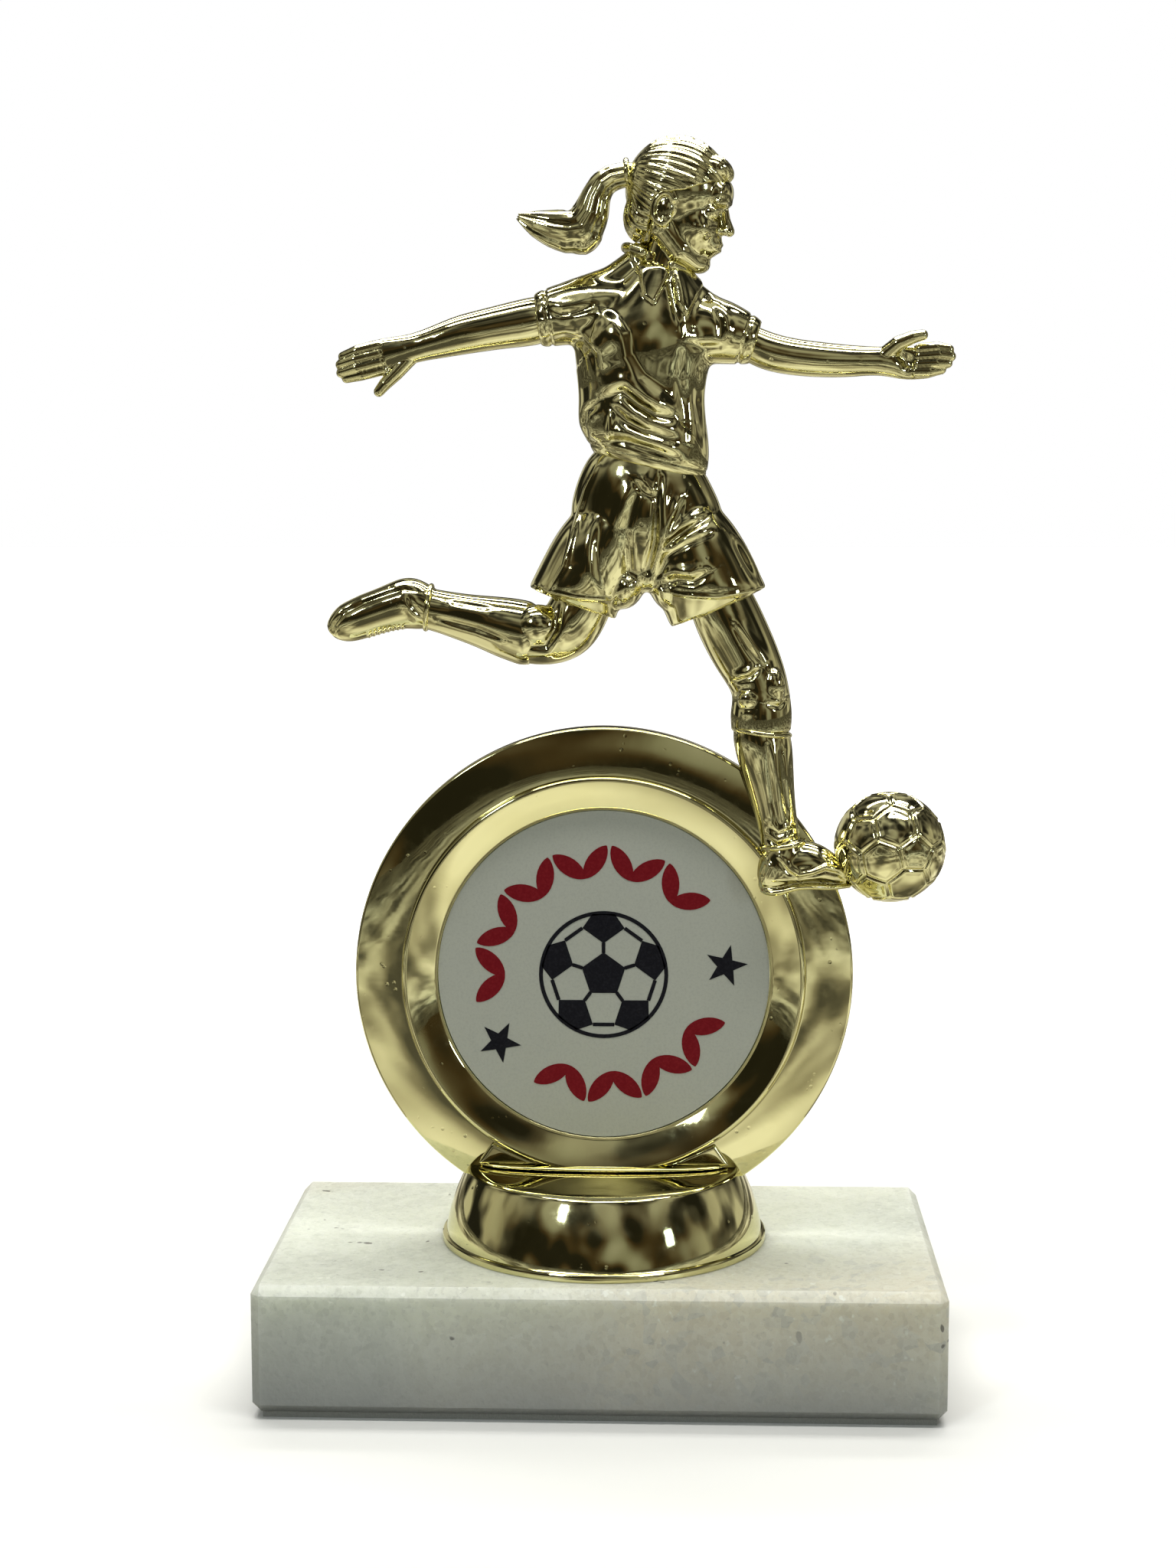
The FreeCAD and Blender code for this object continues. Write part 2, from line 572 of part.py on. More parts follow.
# ---- checks and files ----
for thing in doc.Objects:
    if "Invalid" in thing.State or "Error" in thing.State:
        raise SystemExit(f"{thing.Name} failed: {thing.State}")
for piece in parts:
    if piece.Shape.isNull() or not piece.Shape.isValid():
        raise SystemExit(f"{piece.Label} has no valid shape")
os.makedirs("parts", exist_ok=True)
for piece in parts:
    piece.Shape.exportStep(f"parts/{piece.Label}.step")
    print(f"{piece.Label:20s} {len(piece.Shape.Solids)} solid  {piece.Shape.Volume:10.1f} mm3")
print(len(parts), "nodes")
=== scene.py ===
import math
import bpy
import numpy as np
from mathutils import Matrix, Vector


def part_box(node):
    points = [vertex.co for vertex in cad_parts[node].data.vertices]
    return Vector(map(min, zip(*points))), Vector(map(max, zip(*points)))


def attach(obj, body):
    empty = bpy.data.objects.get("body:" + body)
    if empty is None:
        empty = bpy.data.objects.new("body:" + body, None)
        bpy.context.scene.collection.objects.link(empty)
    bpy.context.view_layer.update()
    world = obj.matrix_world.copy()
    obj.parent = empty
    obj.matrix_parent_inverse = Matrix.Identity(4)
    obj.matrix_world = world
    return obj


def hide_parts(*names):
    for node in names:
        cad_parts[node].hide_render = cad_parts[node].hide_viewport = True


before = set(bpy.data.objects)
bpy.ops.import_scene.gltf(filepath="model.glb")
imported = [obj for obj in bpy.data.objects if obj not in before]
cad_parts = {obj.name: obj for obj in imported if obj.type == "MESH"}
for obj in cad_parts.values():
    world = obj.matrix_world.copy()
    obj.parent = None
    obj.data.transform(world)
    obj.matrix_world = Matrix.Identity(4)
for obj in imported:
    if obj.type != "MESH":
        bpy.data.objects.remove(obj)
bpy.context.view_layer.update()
mm = 0.001


# selecting, and finishing a piece
def deselect():
    if bpy.context.mode != "OBJECT":
        leave()
    bpy.ops.object.select_all(action="DESELECT")


def pick(thing):
    deselect()
    thing.select_set(True)
    bpy.context.view_layer.objects.active = thing


def edit():
    bpy.ops.object.mode_set(mode="EDIT")
    bpy.ops.mesh.select_all(action="SELECT")


def leave():
    bpy.ops.object.mode_set(mode="OBJECT")


def settle():
    bpy.ops.object.transform_apply(location=True, rotation=True, scale=True)
    return bpy.context.object


def faceOutwards():
    bpy.ops.mesh.select_all(action="SELECT")
    bpy.ops.mesh.normals_make_consistent(inside=False)


def modify(thing, kind, **settings):
    modifier = thing.modifiers.new(kind.title(), kind)
    for key, value in settings.items():
        setattr(modifier, key, value)
    pick(thing)
    bpy.ops.object.modifier_apply(modifier=modifier.name)
    return thing


def soften(thing, passes, factor=0.5):
    return modify(thing, "SMOOTH", factor=factor, iterations=passes)


def melt(thing, voxel, passes=0):
    # one closed skin over joined shapes, then smoothed
    modify(thing, "REMESH", mode="VOXEL", voxel_size=voxel, adaptivity=0)
    if passes:
        soften(thing, passes)
    return thing


def join(name, things):
    deselect()
    for thing in things:
        thing.select_set(True)
    bpy.context.view_layer.objects.active = things[0]
    if len(things) > 1:
        bpy.ops.object.join()
    joined = bpy.context.view_layer.objects.active
    joined.name = name
    return joined


def coat(thing, material):
    thing.data.materials.clear()
    thing.data.materials.append(material)


def finished(thing, material, body="figure", angle=None, nodes=()):
    pick(thing)
    settle()
    thing.data.transform(Matrix.Scale(mm, 4))  # pieces are shaped in millimetres
    if angle is None:
        bpy.ops.object.shade_smooth()
    else:
        bpy.ops.object.shade_smooth_by_angle(angle=math.radians(angle))
    coat(thing, material)
    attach(thing, body)
    if nodes:
        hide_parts(*nodes)


# numpy views of a mesh
def coordsOf(thing):
    data = np.empty(len(thing.data.vertices) * 3)
    thing.data.vertices.foreach_get("co", data)
    return data.reshape(-1, 3)


def normalsOf(thing):
    data = np.empty(len(thing.data.vertices) * 3, np.float32)
    thing.data.vertex_normals.foreach_get("vector", data)
    return data.reshape(-1, 3).astype(float)


def setCoords(thing, coords):
    thing.data.vertices.foreach_set("co", coords.ravel())
    thing.data.update()


def pushOut(thing, amount):
    setCoords(thing, coordsOf(thing) + normalsOf(thing) * amount[:, None])


def bell(distance, width):
    return np.exp(-(distance / width) ** 2)


def step(value, low, high):
    ratio = np.clip((value - low) / (high - low), 0, 1)
    return ratio * ratio * (3 - 2 * ratio)


def ropeDistance(points, route):
    # shortest distance from each point to a chain of segments, how far along it is, and which side it lies on
    best = np.full(len(points), 1e9)
    along = np.zeros(len(points))
    side = np.ones(len(points))
    count = len(route) - 1
    for i in range(count):
        start = np.array(route[i], float)
        run = np.array(route[i + 1], float) - start
        away = points - start
        ratio = np.clip(away @ run / (run @ run), 0, 1)
        distance = np.linalg.norm(away - ratio[:, None] * run, axis=1)
        nearer = distance < best
        best[nearer] = distance[nearer]
        along[nearer] = ((i + ratio) / count)[nearer]
        side[nearer] = np.sign(run[0] * away[:, 1] - run[1] * away[:, 0])[nearer]
    return best, along, side


# folds and seams: facing is -1 for the front of the figure and 1 for its back
def turnedTo(thing, facing, low=-0.05, high=0.3):
    return step(facing * normalsOf(thing)[:, 1], low, high)


def fadeEnds(along, power):
    return np.sin(np.pi * (0.02 + 0.96 * along)) ** power


def crease(thing, lines, facing=-1):
    # a line is (depth, width, [(x, z), ...]): a groove with a soft roll on its left, fading at its ends
    coords = coordsOf(thing)
    amount = np.zeros(len(coords))
    for depth, width, route in lines:
        distance, along, side = ropeDistance(coords[:, [0, 2]], route)
        roll = 0.75 * bell(distance * side - 1.9 * width, 1.6 * width)
        amount += fadeEnds(along, 0.6) * depth * (roll - bell(distance, width))
    pushOut(thing, amount * turnedTo(thing, facing))


def ridge(thing, lines, facing=-1):
    # a line is (height, width, [(x, z), ...]): a raised seam
    coords = coordsOf(thing)
    amount = np.zeros(len(coords))
    for height, width, route in lines:
        distance, along, side = ropeDistance(coords[:, [0, 2]], route)
        amount += height * bell(distance, width) * fadeEnds(along, 0.4)
    pushOut(thing, amount * turnedTo(thing, facing))


def drape(thing, height, width, reach, route):
    # cloth that lies proud on the left of a line and falls back over its reach
    distance, along, side = ropeDistance(coordsOf(thing)[:, [0, 2]], route)
    across = distance * side
    amount = height * step(across, -width, width) * bell(np.maximum(across, 0), reach)
    pushOut(thing, amount * turnedTo(thing, -1) * fadeEnds(along, 0.5))


def raisePatch(thing, height, edge, corners):
    # a flat layer laid on the front inside an outline of (x, z) corners
    flat = coordsOf(thing)[:, [0, 2]]
    distance = ropeDistance(flat, corners + [corners[0]])[0]
    inside = np.zeros(len(flat), bool)
    for (x1, z1), (x2, z2) in zip(corners, corners[1:] + [corners[0]]):
        crosses = (z1 > flat[:, 1]) != (z2 > flat[:, 1])
        inside ^= crosses & (flat[:, 0] < (x2 - x1) * (flat[:, 1] - z1) / (z2 - z1) + x1)
    depth = np.where(inside, distance, -distance)
    pushOut(thing, height * step(depth, -edge, edge) * turnedTo(thing, -1, -0.35, 0.0))


def hemLine(thing, place, heading, reach, inset=1.0, depth=0.28, width=0.24):
    # the stitched line of a hem, a little inside its edge
    offset = coordsOf(thing)[:, [0, 2]] - np.array(place)
    angle = math.radians(heading)
    inward = np.abs(offset @ np.array([math.cos(angle), math.sin(angle)]))
    near = np.linalg.norm(offset, axis=1) < reach
    pushOut(thing, -depth * bell(inward - inset, width) * near)


# shapes to start from, in millimetres
def tube(name, stations, sides=28):
    # a station is (x, y, z, heading in the x-z plane, half width, half depth)
    x, y, z, heading, wide, deep = stations[0]
    deselect()
    bpy.ops.mesh.primitive_circle_add(vertices=sides, radius=1, fill_type="NGON", location=(0, 0, 0))
    thing = bpy.context.object
    thing.name = name
    edit()
    bpy.ops.transform.resize(value=(wide, deep, 1))
    turnY(90 - heading, (0, 0, 0))
    bpy.ops.transform.translate(value=(x, y, z))
    for before, after in zip(stations, stations[1:]):
        shift = [after[i] - before[i] for i in range(3)]
        bpy.ops.mesh.extrude_region_move(TRANSFORM_OT_translate={"value": shift})
        centre = after[:3]
        turnY(before[3] - after[3], centre)
        across = after[4] / before[4]
        bpy.ops.transform.resize(value=(across, after[5] / before[5], across), center_override=centre)
    faceOutwards()
    bpy.ops.mesh.select_all(action="DESELECT")
    leave()
    for polygon in thing.data.polygons:
        if len(polygon.vertices) > 4:
            for index in polygon.vertices:
                thing.data.vertices[index].select = True
    bpy.ops.object.mode_set(mode="EDIT")
    bpy.ops.transform.edge_crease(value=1.0)  # the two ends stay flat and the sides run smoothly
    leave()
    return modify(thing, "SUBSURF", levels=2, render_levels=2)


def turnY(degrees, centre):
    # with no window this operator turns the other way
    bpy.ops.transform.rotate(value=math.radians(-degrees), orient_axis="Y", orient_type="GLOBAL",
                             center_override=centre)


def blob(place, radii, turn=(0, 0, 0), segments=32):
    deselect()
    rotation = [math.radians(angle) for angle in turn]
    bpy.ops.mesh.primitive_uv_sphere_add(segments=segments, ring_count=segments // 2, location=place,
                                         rotation=rotation, scale=radii)
    return settle()


def rod(start, end, startRadius, endRadius):
    # a tapered rod with round ends
    start = Vector(start)
    end = Vector(end)
    deselect()
    bpy.ops.mesh.primitive_cone_add(vertices=20, radius1=startRadius, radius2=endRadius,
                                    depth=(end - start).length, location=(start + end) / 2,
                                    rotation=(end - start).to_track_quat("Z", "Y").to_euler())
    cone = settle()
    ends = [blob(start, [startRadius] * 3, segments=20), blob(end, [endRadius] * 3, segments=20)]
    return join("rod", [cone] + ends)


def chain(points, radii):
    pairs = zip(points, points[1:], radii, radii[1:])
    return join("chain", [rod(*pair) for pair in pairs])


def spun(name, profile, steps, turned=False, height=0):
    # a profile of (radius, height) points turned about the z axis; turned lays the axis along -y
    deselect()
    bpy.ops.mesh.primitive_plane_add(size=1)
    thing = bpy.context.object
    thing.name = name
    mesh = thing.data
    mesh.clear_geometry()
    mesh.from_pydata([(r, 0, h) for r, h in profile], [(i, i + 1) for i in range(len(profile) - 1)], [])
    edit()
    bpy.ops.mesh.spin(steps=steps, angle=2 * math.pi, center=(0, 0, 0), axis=(0, 0, 1))
    bpy.ops.mesh.select_all(action="SELECT")
    bpy.ops.mesh.remove_doubles(threshold=0.0005)
    faceOutwards()
    leave()
    if turned:
        thing.rotation_euler = (math.radians(90), 0, 0)
    thing.location = (0, 0, height)
    pick(thing)
    return settle()


def arcPoints(centre, radius, fromAngle, toAngle, count):
    angles = [math.radians(fromAngle + (toAngle - fromAngle) * i / count) for i in range(count + 1)]
    return [(centre[0] + radius * math.cos(a), centre[1] + radius * math.sin(a)) for a in angles]


def beside(radius, height, offsets):
    # profile points close round a corner
    return [(radius + out, height + up) for out, up in offsets]


# shader maths: a field wraps a socket, so sums of nodes read as sums
class Field:
    def __init__(self, shader, socket):
        self.shader = shader
        self.socket = socket

    def maths(self, operation, first, second):
        return self.shader.node("ShaderNodeMath", {"operation": operation}, {0: first, 1: second})

    def __add__(self, other):
        return self.maths("ADD", self, other)

    def __sub__(self, other):
        return self.maths("SUBTRACT", self, other)

    def __rsub__(self, other):
        return self.maths("SUBTRACT", other, self)

    def __mul__(self, other):
        return self.maths("MULTIPLY", self, other)

    __radd__ = __add__
    __rmul__ = __mul__


class Shader:
    def __init__(self, owner, surface="Principled BSDF", place="Object"):
        owner.use_nodes = True
        self.owner = owner
        self.nodes = owner.node_tree.nodes
        self.links = owner.node_tree.links
        self.surface = self.nodes[surface]
        self.place = self.node("ShaderNodeTexCoord", {}, {}, place)

    def node(self, kind, settings, inputs, output=0):
        made = self.nodes.new(kind)
        for key, value in settings.items():
            if key == "stops":
                self.fillRamp(made.color_ramp, value)
            else:
                setattr(made, key, value)
        self.feed(made, inputs)
        return Field(self, made.outputs[output])

    def fillRamp(self, ramp, stops):
        while len(ramp.elements) < len(stops):
            ramp.elements.new(0.5)
        for element, (position, colour) in zip(ramp.elements, stops):
            element.position = position
            element.color = (*colour, 1.0)

    def feed(self, made, inputs):
        for key, value in inputs.items():
            if isinstance(value, Field):
                self.links.new(value.socket, made.inputs[key])
            else:
                made.inputs[key].default_value = value

    def noise(self, scale, detail=2.0, roughness=0.5, place=None, output="Fac"):
        inputs = {"Vector": place or self.place, "Scale": scale, "Detail": detail, "Roughness": roughness}
        return self.node("ShaderNodeTexNoise", {}, inputs, output)

    def cells(self, scale, output="Distance", place=None):
        inputs = {"Vector": place or self.place, "Scale": scale}
        return self.node("ShaderNodeTexVoronoi", {"feature": "F1"}, inputs, output)

    def axis(self, name):
        return self.node("ShaderNodeSeparateXYZ", {}, {0: self.place}, name)

    def channel(self, colour, name):
        return self.node("ShaderNodeSeparateColor", {}, {0: colour}, name)

    def ray(self, name):
        return self.node("ShaderNodeLightPath", {}, {}, name)

    def ramp(self, factor, stops):
        return self.node("ShaderNodeValToRGB", {"stops": stops}, {0: factor})

    def level(self, factor, low, high, start=0.0, end=1.0):
        names = ("From Min", "From Max", "To Min", "To Max")
        inputs = dict(zip(names, (low, high, start, end)))
        return self.node("ShaderNodeMapRange", {}, {"Value": factor, **inputs})

    def mix(self, factor, first, second, blend="MIX"):
        settings = {"data_type": "RGBA", "blend_type": blend}
        return self.node("ShaderNodeMix", settings, {0: factor, 6: first, 7: second}, 2)

    def bump(self, height, distance):
        inputs = {"Height": height, "Distance": distance, "Strength": 1.0}
        self.feed(self.surface, {"Normal": self.node("ShaderNodeBump", {}, inputs)})

    def finish(self, **inputs):
        self.feed(self.surface, {key.replace("_", " "): value for key, value in inputs.items()})
        return self.owner


def paint(name):
    return Shader(bpy.data.materials.new(name))


# finishes: a noise is (scale, detail, roughness), and a range is (from low, from high, to low, to high)
goldFinish = {
    "pale": (0.79, 0.75, 0.43, 1), "deep": (0.66, 0.61, 0.3, 1), "drift": (90, 2), "wave": (160, 1.5),
    "relief": 0.00007, "ringWave": 0.55, "pocks": 700, "pockRange": (0.1, 0.22, 1, 0), "pockDepth": -0.35,
    "patch": (260, 1), "patchRange": (0.62, 0.72), "haze": (420, 3, 0.6), "hazeRange": (0.45, 0.75),
    "roughness": 0.035, "hazeRoughness": 0.07, "pockRoughness": 0.25,
}


def goldMaterial(name, wave=1.0):
    s = goldFinish
    shader = paint(name)
    patch = shader.level(shader.noise(*s["patch"]), *s["patchRange"])
    specks = shader.level(shader.cells(s["pocks"]), *s["pockRange"]) * patch
    haze = shader.level(shader.noise(*s["haze"]), *s["hazeRange"])
    colour = shader.mix(shader.noise(*s["drift"]), s["pale"], s["deep"])
    shader.bump(shader.noise(*s["wave"]) * wave + specks * s["pockDepth"], s["relief"])
    roughness = haze * s["hazeRoughness"] + specks * s["pockRoughness"] + s["roughness"]
    return shader.finish(Base_Color=colour, Metallic=1.0, Roughness=roughness)


marbleFinish = {
    "body": (0.72, 0.75, 0.65, 1), "cloud": (0.56, 0.58, 0.51, 1), "edge": (0.88, 0.9, 0.82, 1),
    "speck": (0.3, 0.31, 0.3, 1), "warm": (0.74, 0.66, 0.5, 1), "spot": (0.1, 0.09, 0.08, 1),
    # the first tone below is the painted shade for the lower marble
    "depth": (0.34, 0.35, 0.35, 1), "warp": 35, "warpReach": 0.02, "clouds": (34, 4, 0.55),
    "cloudRange": (0.36, 0.66), "warmth": (16, 1), "warmRange": (0.46, 0.66), "warmShare": 0.6,
    "crystals": 540, "crystalRange": (0.2, 1), "crystalShare": 0.25, "stains": (24, 2),
    "stainRange": (0.5, 0.68), "stainedCrystals": (0.7, 0.95, 0, 0.38), "sparkle": 1250,
    "paleSparkle": (0, 1), "paleShare": 0.22, "darkSparkle": (0.3, 0), "darkShare": 0.1,
    "glints": (520, 2, 0.6), "glintRange": (0.66, 0.72), "glintShare": 0.7, "glintAreas": (40, 1),
    "glintAreaRange": (0.5, 0.6), "sugar": (1400, 2, 0.7), "sugarRange": (0.58, 0.74), "sugarShare": 0.25,
    "sugarRoughness": (0.3, 0.7, 0.3, 0.5), "dots": (430, 1), "dotRange": (0.73, 0.76), "dotShare": 0.8,
    # the last values on the next line and the range after them set where the painted shade on the lower
    # marble lies and how it fades with height
    "dotAreas": (60, 1), "dotAreaRange": (0.52, 0.6), "sink": (26, 2), "paintedShadeReach": 0.016,
    "paintedShadeRange": (0.001, 0.0165, 0.85, 0), "grain": 1500, "grainShare": 0.6, "relief": 0.00008,
    "glow": 0.75, "glowRadius": (0.0055, 0.0055, 0.005),
}


def marbleMaterial():
    # each tint lies over the last one, from the clouds inside to the dots on the face, and last a painted
    # shade that darkens the marble towards its bottom
    s = marbleFinish
    shader = paint("marble")

    def spread(noise, limits):
        return shader.level(shader.noise(*s[noise]), *s[limits])

    def tint(factor, tone):
        return shader.mix(factor, colour, s[tone])

    swirl = shader.noise(s["warp"], output="Color")
    warp = shader.node("ShaderNodeVectorMath", {"operation": "MULTIPLY_ADD"},
                       {0: swirl, 1: [s["warpReach"]] * 3, 2: shader.place})
    clouds = shader.noise(*s["clouds"], warp)
    sugar = shader.noise(*s["sugar"])
    colour = shader.mix(shader.level(clouds, *s["cloudRange"]), s["body"], s["cloud"])
    colour = tint(spread("warmth", "warmRange") * s["warmShare"], "warm")
    crystals = shader.channel(shader.cells(s["crystals"], "Color", warp), 0)
    colour = tint(shader.level(crystals, *s["crystalRange"]) * s["crystalShare"], "edge")
    colour = tint(shader.level(crystals, *s["stainedCrystals"]) * spread("stains", "stainRange"), "speck")
    sparkle = shader.channel(shader.cells(s["sparkle"], "Color"), 1)
    colour = tint(shader.level(sparkle, *s["paleSparkle"]) * s["paleShare"], "edge")
    colour = tint(shader.level(sparkle, *s["darkSparkle"]) * s["darkShare"], "speck")
    glints = spread("glints", "glintRange") * spread("glintAreas", "glintAreaRange")
    colour = tint(glints * s["glintShare"], "edge")
    colour = tint(shader.level(sugar, *s["sugarRange"]) * s["sugarShare"], "speck")
    colour = tint(spread("dots", "dotRange") * spread("dotAreas", "dotAreaRange") * s["dotShare"], "spot")
    sink = shader.axis("Z") + (shader.noise(*s["sink"]) - 0.5) * s["paintedShadeReach"]  # painted shade: the colour darkens towards the felt, where less overhead light reaches the front
    # the painted shade tone laid over the colour
    colour = tint(shader.level(sink, *s["paintedShadeRange"]), "depth")
    shader.bump(shader.cells(s["grain"]) * s["grainShare"] + sugar, s["relief"])
    roughness = shader.level(sugar, *s["sugarRoughness"])
    return shader.finish(Base_Color=colour, Roughness=roughness, Specular_IOR_Level=0.5, Subsurface_Scale=1.0,
                         Subsurface_Weight=s["glow"], Subsurface_Radius=s["glowRadius"])


printFinish = {
    "grain": (2600, 3, 0.7), "wear": (0.45, 0.8), "relief": 0.00001, "roughness": (0.3, 0.8, 0.35, 0.55),
    "white": ((0.52, 0.53, 0.46, 1), (0.45, 0.46, 0.4, 1)),
    "foam": ((0.8, 0.8, 0.77, 1), (0.7, 0.7, 0.68, 1)),
    "black": ((0.008, 0.008, 0.012, 1), (0.02, 0.02, 0.026, 1)),
    "red": ((0.2, 0.006, 0.012, 1), (0.27, 0.016, 0.022, 1)), "gloss": 0.5, "inkGloss": 0.12,
}


def printMaterial(name, tones, gloss):
    s = printFinish
    shader = paint(name)
    grain = shader.noise(*s["grain"])
    colour = shader.mix(shader.level(grain, *s["wear"]), *tones)
    shader.bump(grain, s["relief"])
    roughness = shader.level(grain, *s["roughness"])
    return shader.finish(Base_Color=colour, Roughness=roughness, Specular_IOR_Level=gloss)


feltFinish = {
    "fibre": (2400, 4, 0.75), "relief": 0.0003, "dark": (0.3, 0.3, 0.27, 1),
    "pale": (0.46, 0.46, 0.42, 1), "roughness": 0.95, "sheen": 0.4,
}


def feltMaterial():
    s = feltFinish
    shader = paint("felt")
    fibre = shader.noise(*s["fibre"])
    shader.bump(fibre, s["relief"])
    colour = shader.mix(fibre, s["dark"], s["pale"])
    return shader.finish(Base_Color=colour, Roughness=s["roughness"], Sheen_Weight=s["sheen"])


metalFinish = {
    "brush": (900, 3, 0.65), "range": (0.3, 0.7), "relief": 0.00002, "spread": 0.2,
    "brass": ((0.8, 0.62, 0.28, 1), (0.62, 0.46, 0.2, 1), 0.25),
    "zinc": ((0.72, 0.73, 0.75, 1), (0.55, 0.57, 0.6, 1), 0.3),
}


def plainMetal(name):
    s = metalFinish
    pale, dark, roughness = s[name]
    shader = paint(name)
    brush = shader.noise(*s["brush"])
    shader.bump(brush, s["relief"])
    colour = shader.mix(shader.level(brush, *s["range"]), pale, dark)
    polish = shader.level(brush, *s["range"], roughness, roughness + s["spread"])
    return shader.finish(Base_Color=colour, Metallic=1.0, Roughness=polish)


gold = goldMaterial("gold")
goldSmooth = goldMaterial("goldRing", goldFinish["ringWave"])
inkBlack = printMaterial("inkBlack", printFinish["black"], printFinish["inkGloss"])
inkRed = printMaterial("inkRed", printFinish["red"], printFinish["inkGloss"])
cadMaterials = {
    "insert_disc": printMaterial("discWhite", printFinish["white"], printFinish["gloss"]),
    "marble_base": marbleMaterial(),
    "felt_sheet": feltMaterial(),
    "disc_adhesive": printMaterial("foam", printFinish["foam"], printFinish["gloss"]),
    "threaded_insert": plainMetal("brass"),
    "stud": plainMetal("zinc"),
}
cadMaterials["washer"] = cadMaterials["hex_nut"] = cadMaterials["stud"]
for node, material in cadMaterials.items():
    coat(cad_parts[node], material)
print("finishes made")


# ring, foot and print, sized from the frame
ringBox = [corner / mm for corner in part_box("insert_ring")]
discBox = [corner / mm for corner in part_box("insert_disc")]
footBox = [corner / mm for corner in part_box("foot_shell")]
ballBox = [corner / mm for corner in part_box("ball")]
ringRadius = (ringBox[1].x - ringBox[0].x) / 2
ringHeight = ringBox[1].z - ringRadius
discFront = discBox[0].y
footTop = footBox[1].z
footFloor = footBox[0].z

ringShape = {
    "crest": 31, "crestHalf": 3.8, "crestRound": 0.55, "crestInset": 0.25, "rimHalf": 2, "rimRound": 0.5,
    "bandHalf": 2.75, "bandEdge": [(-0.2, 0.12), (-0.12, -0.02), (0.1, 0)], "pocket": 25.5,
    "pocketEdge": [(0, -0.15), (0.1, 0)], "lip": 25.9, "lipHalf": 1.95,
    "lipEdge": [(0, 0.02), (0.15, 0.12)], "webFront": 0.7, "webBack": 1.2, "rootDepth": 1.9, "steps": 240,
    "sharp": 28,
}


def ringFace(s, web):
    # one face of the ring, from the axis out to its rim
    crown = s["crest"] - s["crestRound"] - s["crestInset"]
    face = [(0, web), (s["pocket"], web)]
    face += beside(s["pocket"], s["lipHalf"], s["pocketEdge"])
    face += beside(s["lip"], s["lipHalf"], s["lipEdge"])
    face += arcPoints((crown, s["crestHalf"] - s["crestRound"]), s["crestRound"], 115, 0, 8)
    face += beside(s["crest"], s["bandHalf"], s["bandEdge"])
    face += arcPoints((ringRadius - s["rimRound"], s["rimHalf"] - s["rimRound"]), s["rimRound"], 80, 8, 6)
    return face


def insertRing():
    s = ringShape
    front = ringFace(s, s["webFront"])
    back = [(r, -h) for r, h in reversed(ringFace(s, s["webBack"]))]
    ring = spun("insertRing", front + back, s["steps"], turned=True, height=ringHeight)
    pick(ring)
    edit()
    bpy.ops.mesh.bisect(plane_co=(0, 0, footTop - s["rootDepth"]), plane_no=(0, 0, 1), clear_inner=True,
                        use_fill=True)
    leave()
    finished(ring, goldSmooth, angle=s["sharp"], nodes=["insert_ring"])


footShape = {
    "edge": 20.6, "edgeRound": 0.9, "edgeInset": 0.3, "rise": 0.15, "dish": 0.6, "dishInset": 1.2,
    "dishPower": 2.2, "bulge": 25, "ledge": 0.55, "bow": 1.6, "wallFoot": 0.15, "wall": 2.2, "hollow": 6,
    "lip": 1.15,
    "lipTop": [(-0.35, 0.02), (-0.12, -0.05), (0.03, -0.2), (0.1, -0.45)],
    "lipFoot": [(0.1, 0.12), (-0.02, 0)], "boss": 8.5, "pocket": 5.6, "pocketDepth": 8, "steps": 200,
    "sharp": 28,
}


def footPiece():
    s = footShape
    low = footFloor
    roof = footTop - s["wall"]
    shoulder = footTop + s["rise"]
    dishRim = s["edge"] - s["dishInset"]
    top = [(dishRim * i / 10, shoulder - s["dish"] * (1 - (i / 10) ** s["dishPower"])) for i in range(11)]
    bend = (s["edge"] - s["edgeRound"] * s["edgeInset"], shoulder - s["edgeRound"])
    edgeArc = arcPoints(bend, s["edgeRound"], 85, 28, 6)
    startRadius, startHeight = edgeArc[-1]
    wall = []
    for i in range(1, 25):
        t = i / 24
        flare = s["bow"] * t - (s["bow"] - 1) * t ** 2  # a cone that bows out
        radius = startRadius + (s["bulge"] - s["ledge"] - startRadius) * flare
        wall.append((radius, startHeight + (low + s["lip"] + s["wallFoot"] - startHeight) * t))
    lip = beside(s["bulge"], low + s["lip"], s["lipTop"]) + beside(s["bulge"], low, s["lipFoot"])
    inside = s["bulge"] - s["wall"]
    ceiling = low + s["pocketDepth"]
    under = [(inside, low), (inside, low + s["hollow"]), (s["edge"] - s["wall"], roof), (s["boss"], roof),
             (s["boss"], low), (s["pocket"], low), (s["pocket"], ceiling), (0, ceiling)]
    foot = spun("foot", top + edgeArc + wall + lip + under, s["steps"])
    finished(foot, goldSmooth, angle=s["sharp"], nodes=["foot_shell"])


collarShape = {
    "length": 20.4, "height": 0.5, "depth": 4.6, "thin": 0.12, "shallow": 0.6, "lift": 0.5, "sag": 0.5,
    "voxel": 0.2, "passes": 6,
}


def ringCollar():
    s = collarShape
    stations = []
    for i in range(25):
        t = -1 + 2 * i / 24
        ends = (1 - abs(t) ** 8) ** 0.5
        middle = footTop + s["lift"] - s["sag"] * math.cos(t * math.pi / 2)
        height = s["thin"] + s["height"] * ends
        depth = s["shallow"] + (s["depth"] - s["shallow"]) * ends
        stations.append((t * s["length"], 0, middle, 0, height, depth))
    bar = melt(tube("ringCollar", stations, 36), s["voxel"], s["passes"])
    finished(bar, goldSmooth, nodes=["ring_collar"])


gussetShape = {
    "near": 10.2, "far": 19.3, "lean": 2.2, "top": 3.2, "depth": 7, "lift": 0.7, "voxel": 0.16,
    "passes": 10,
}


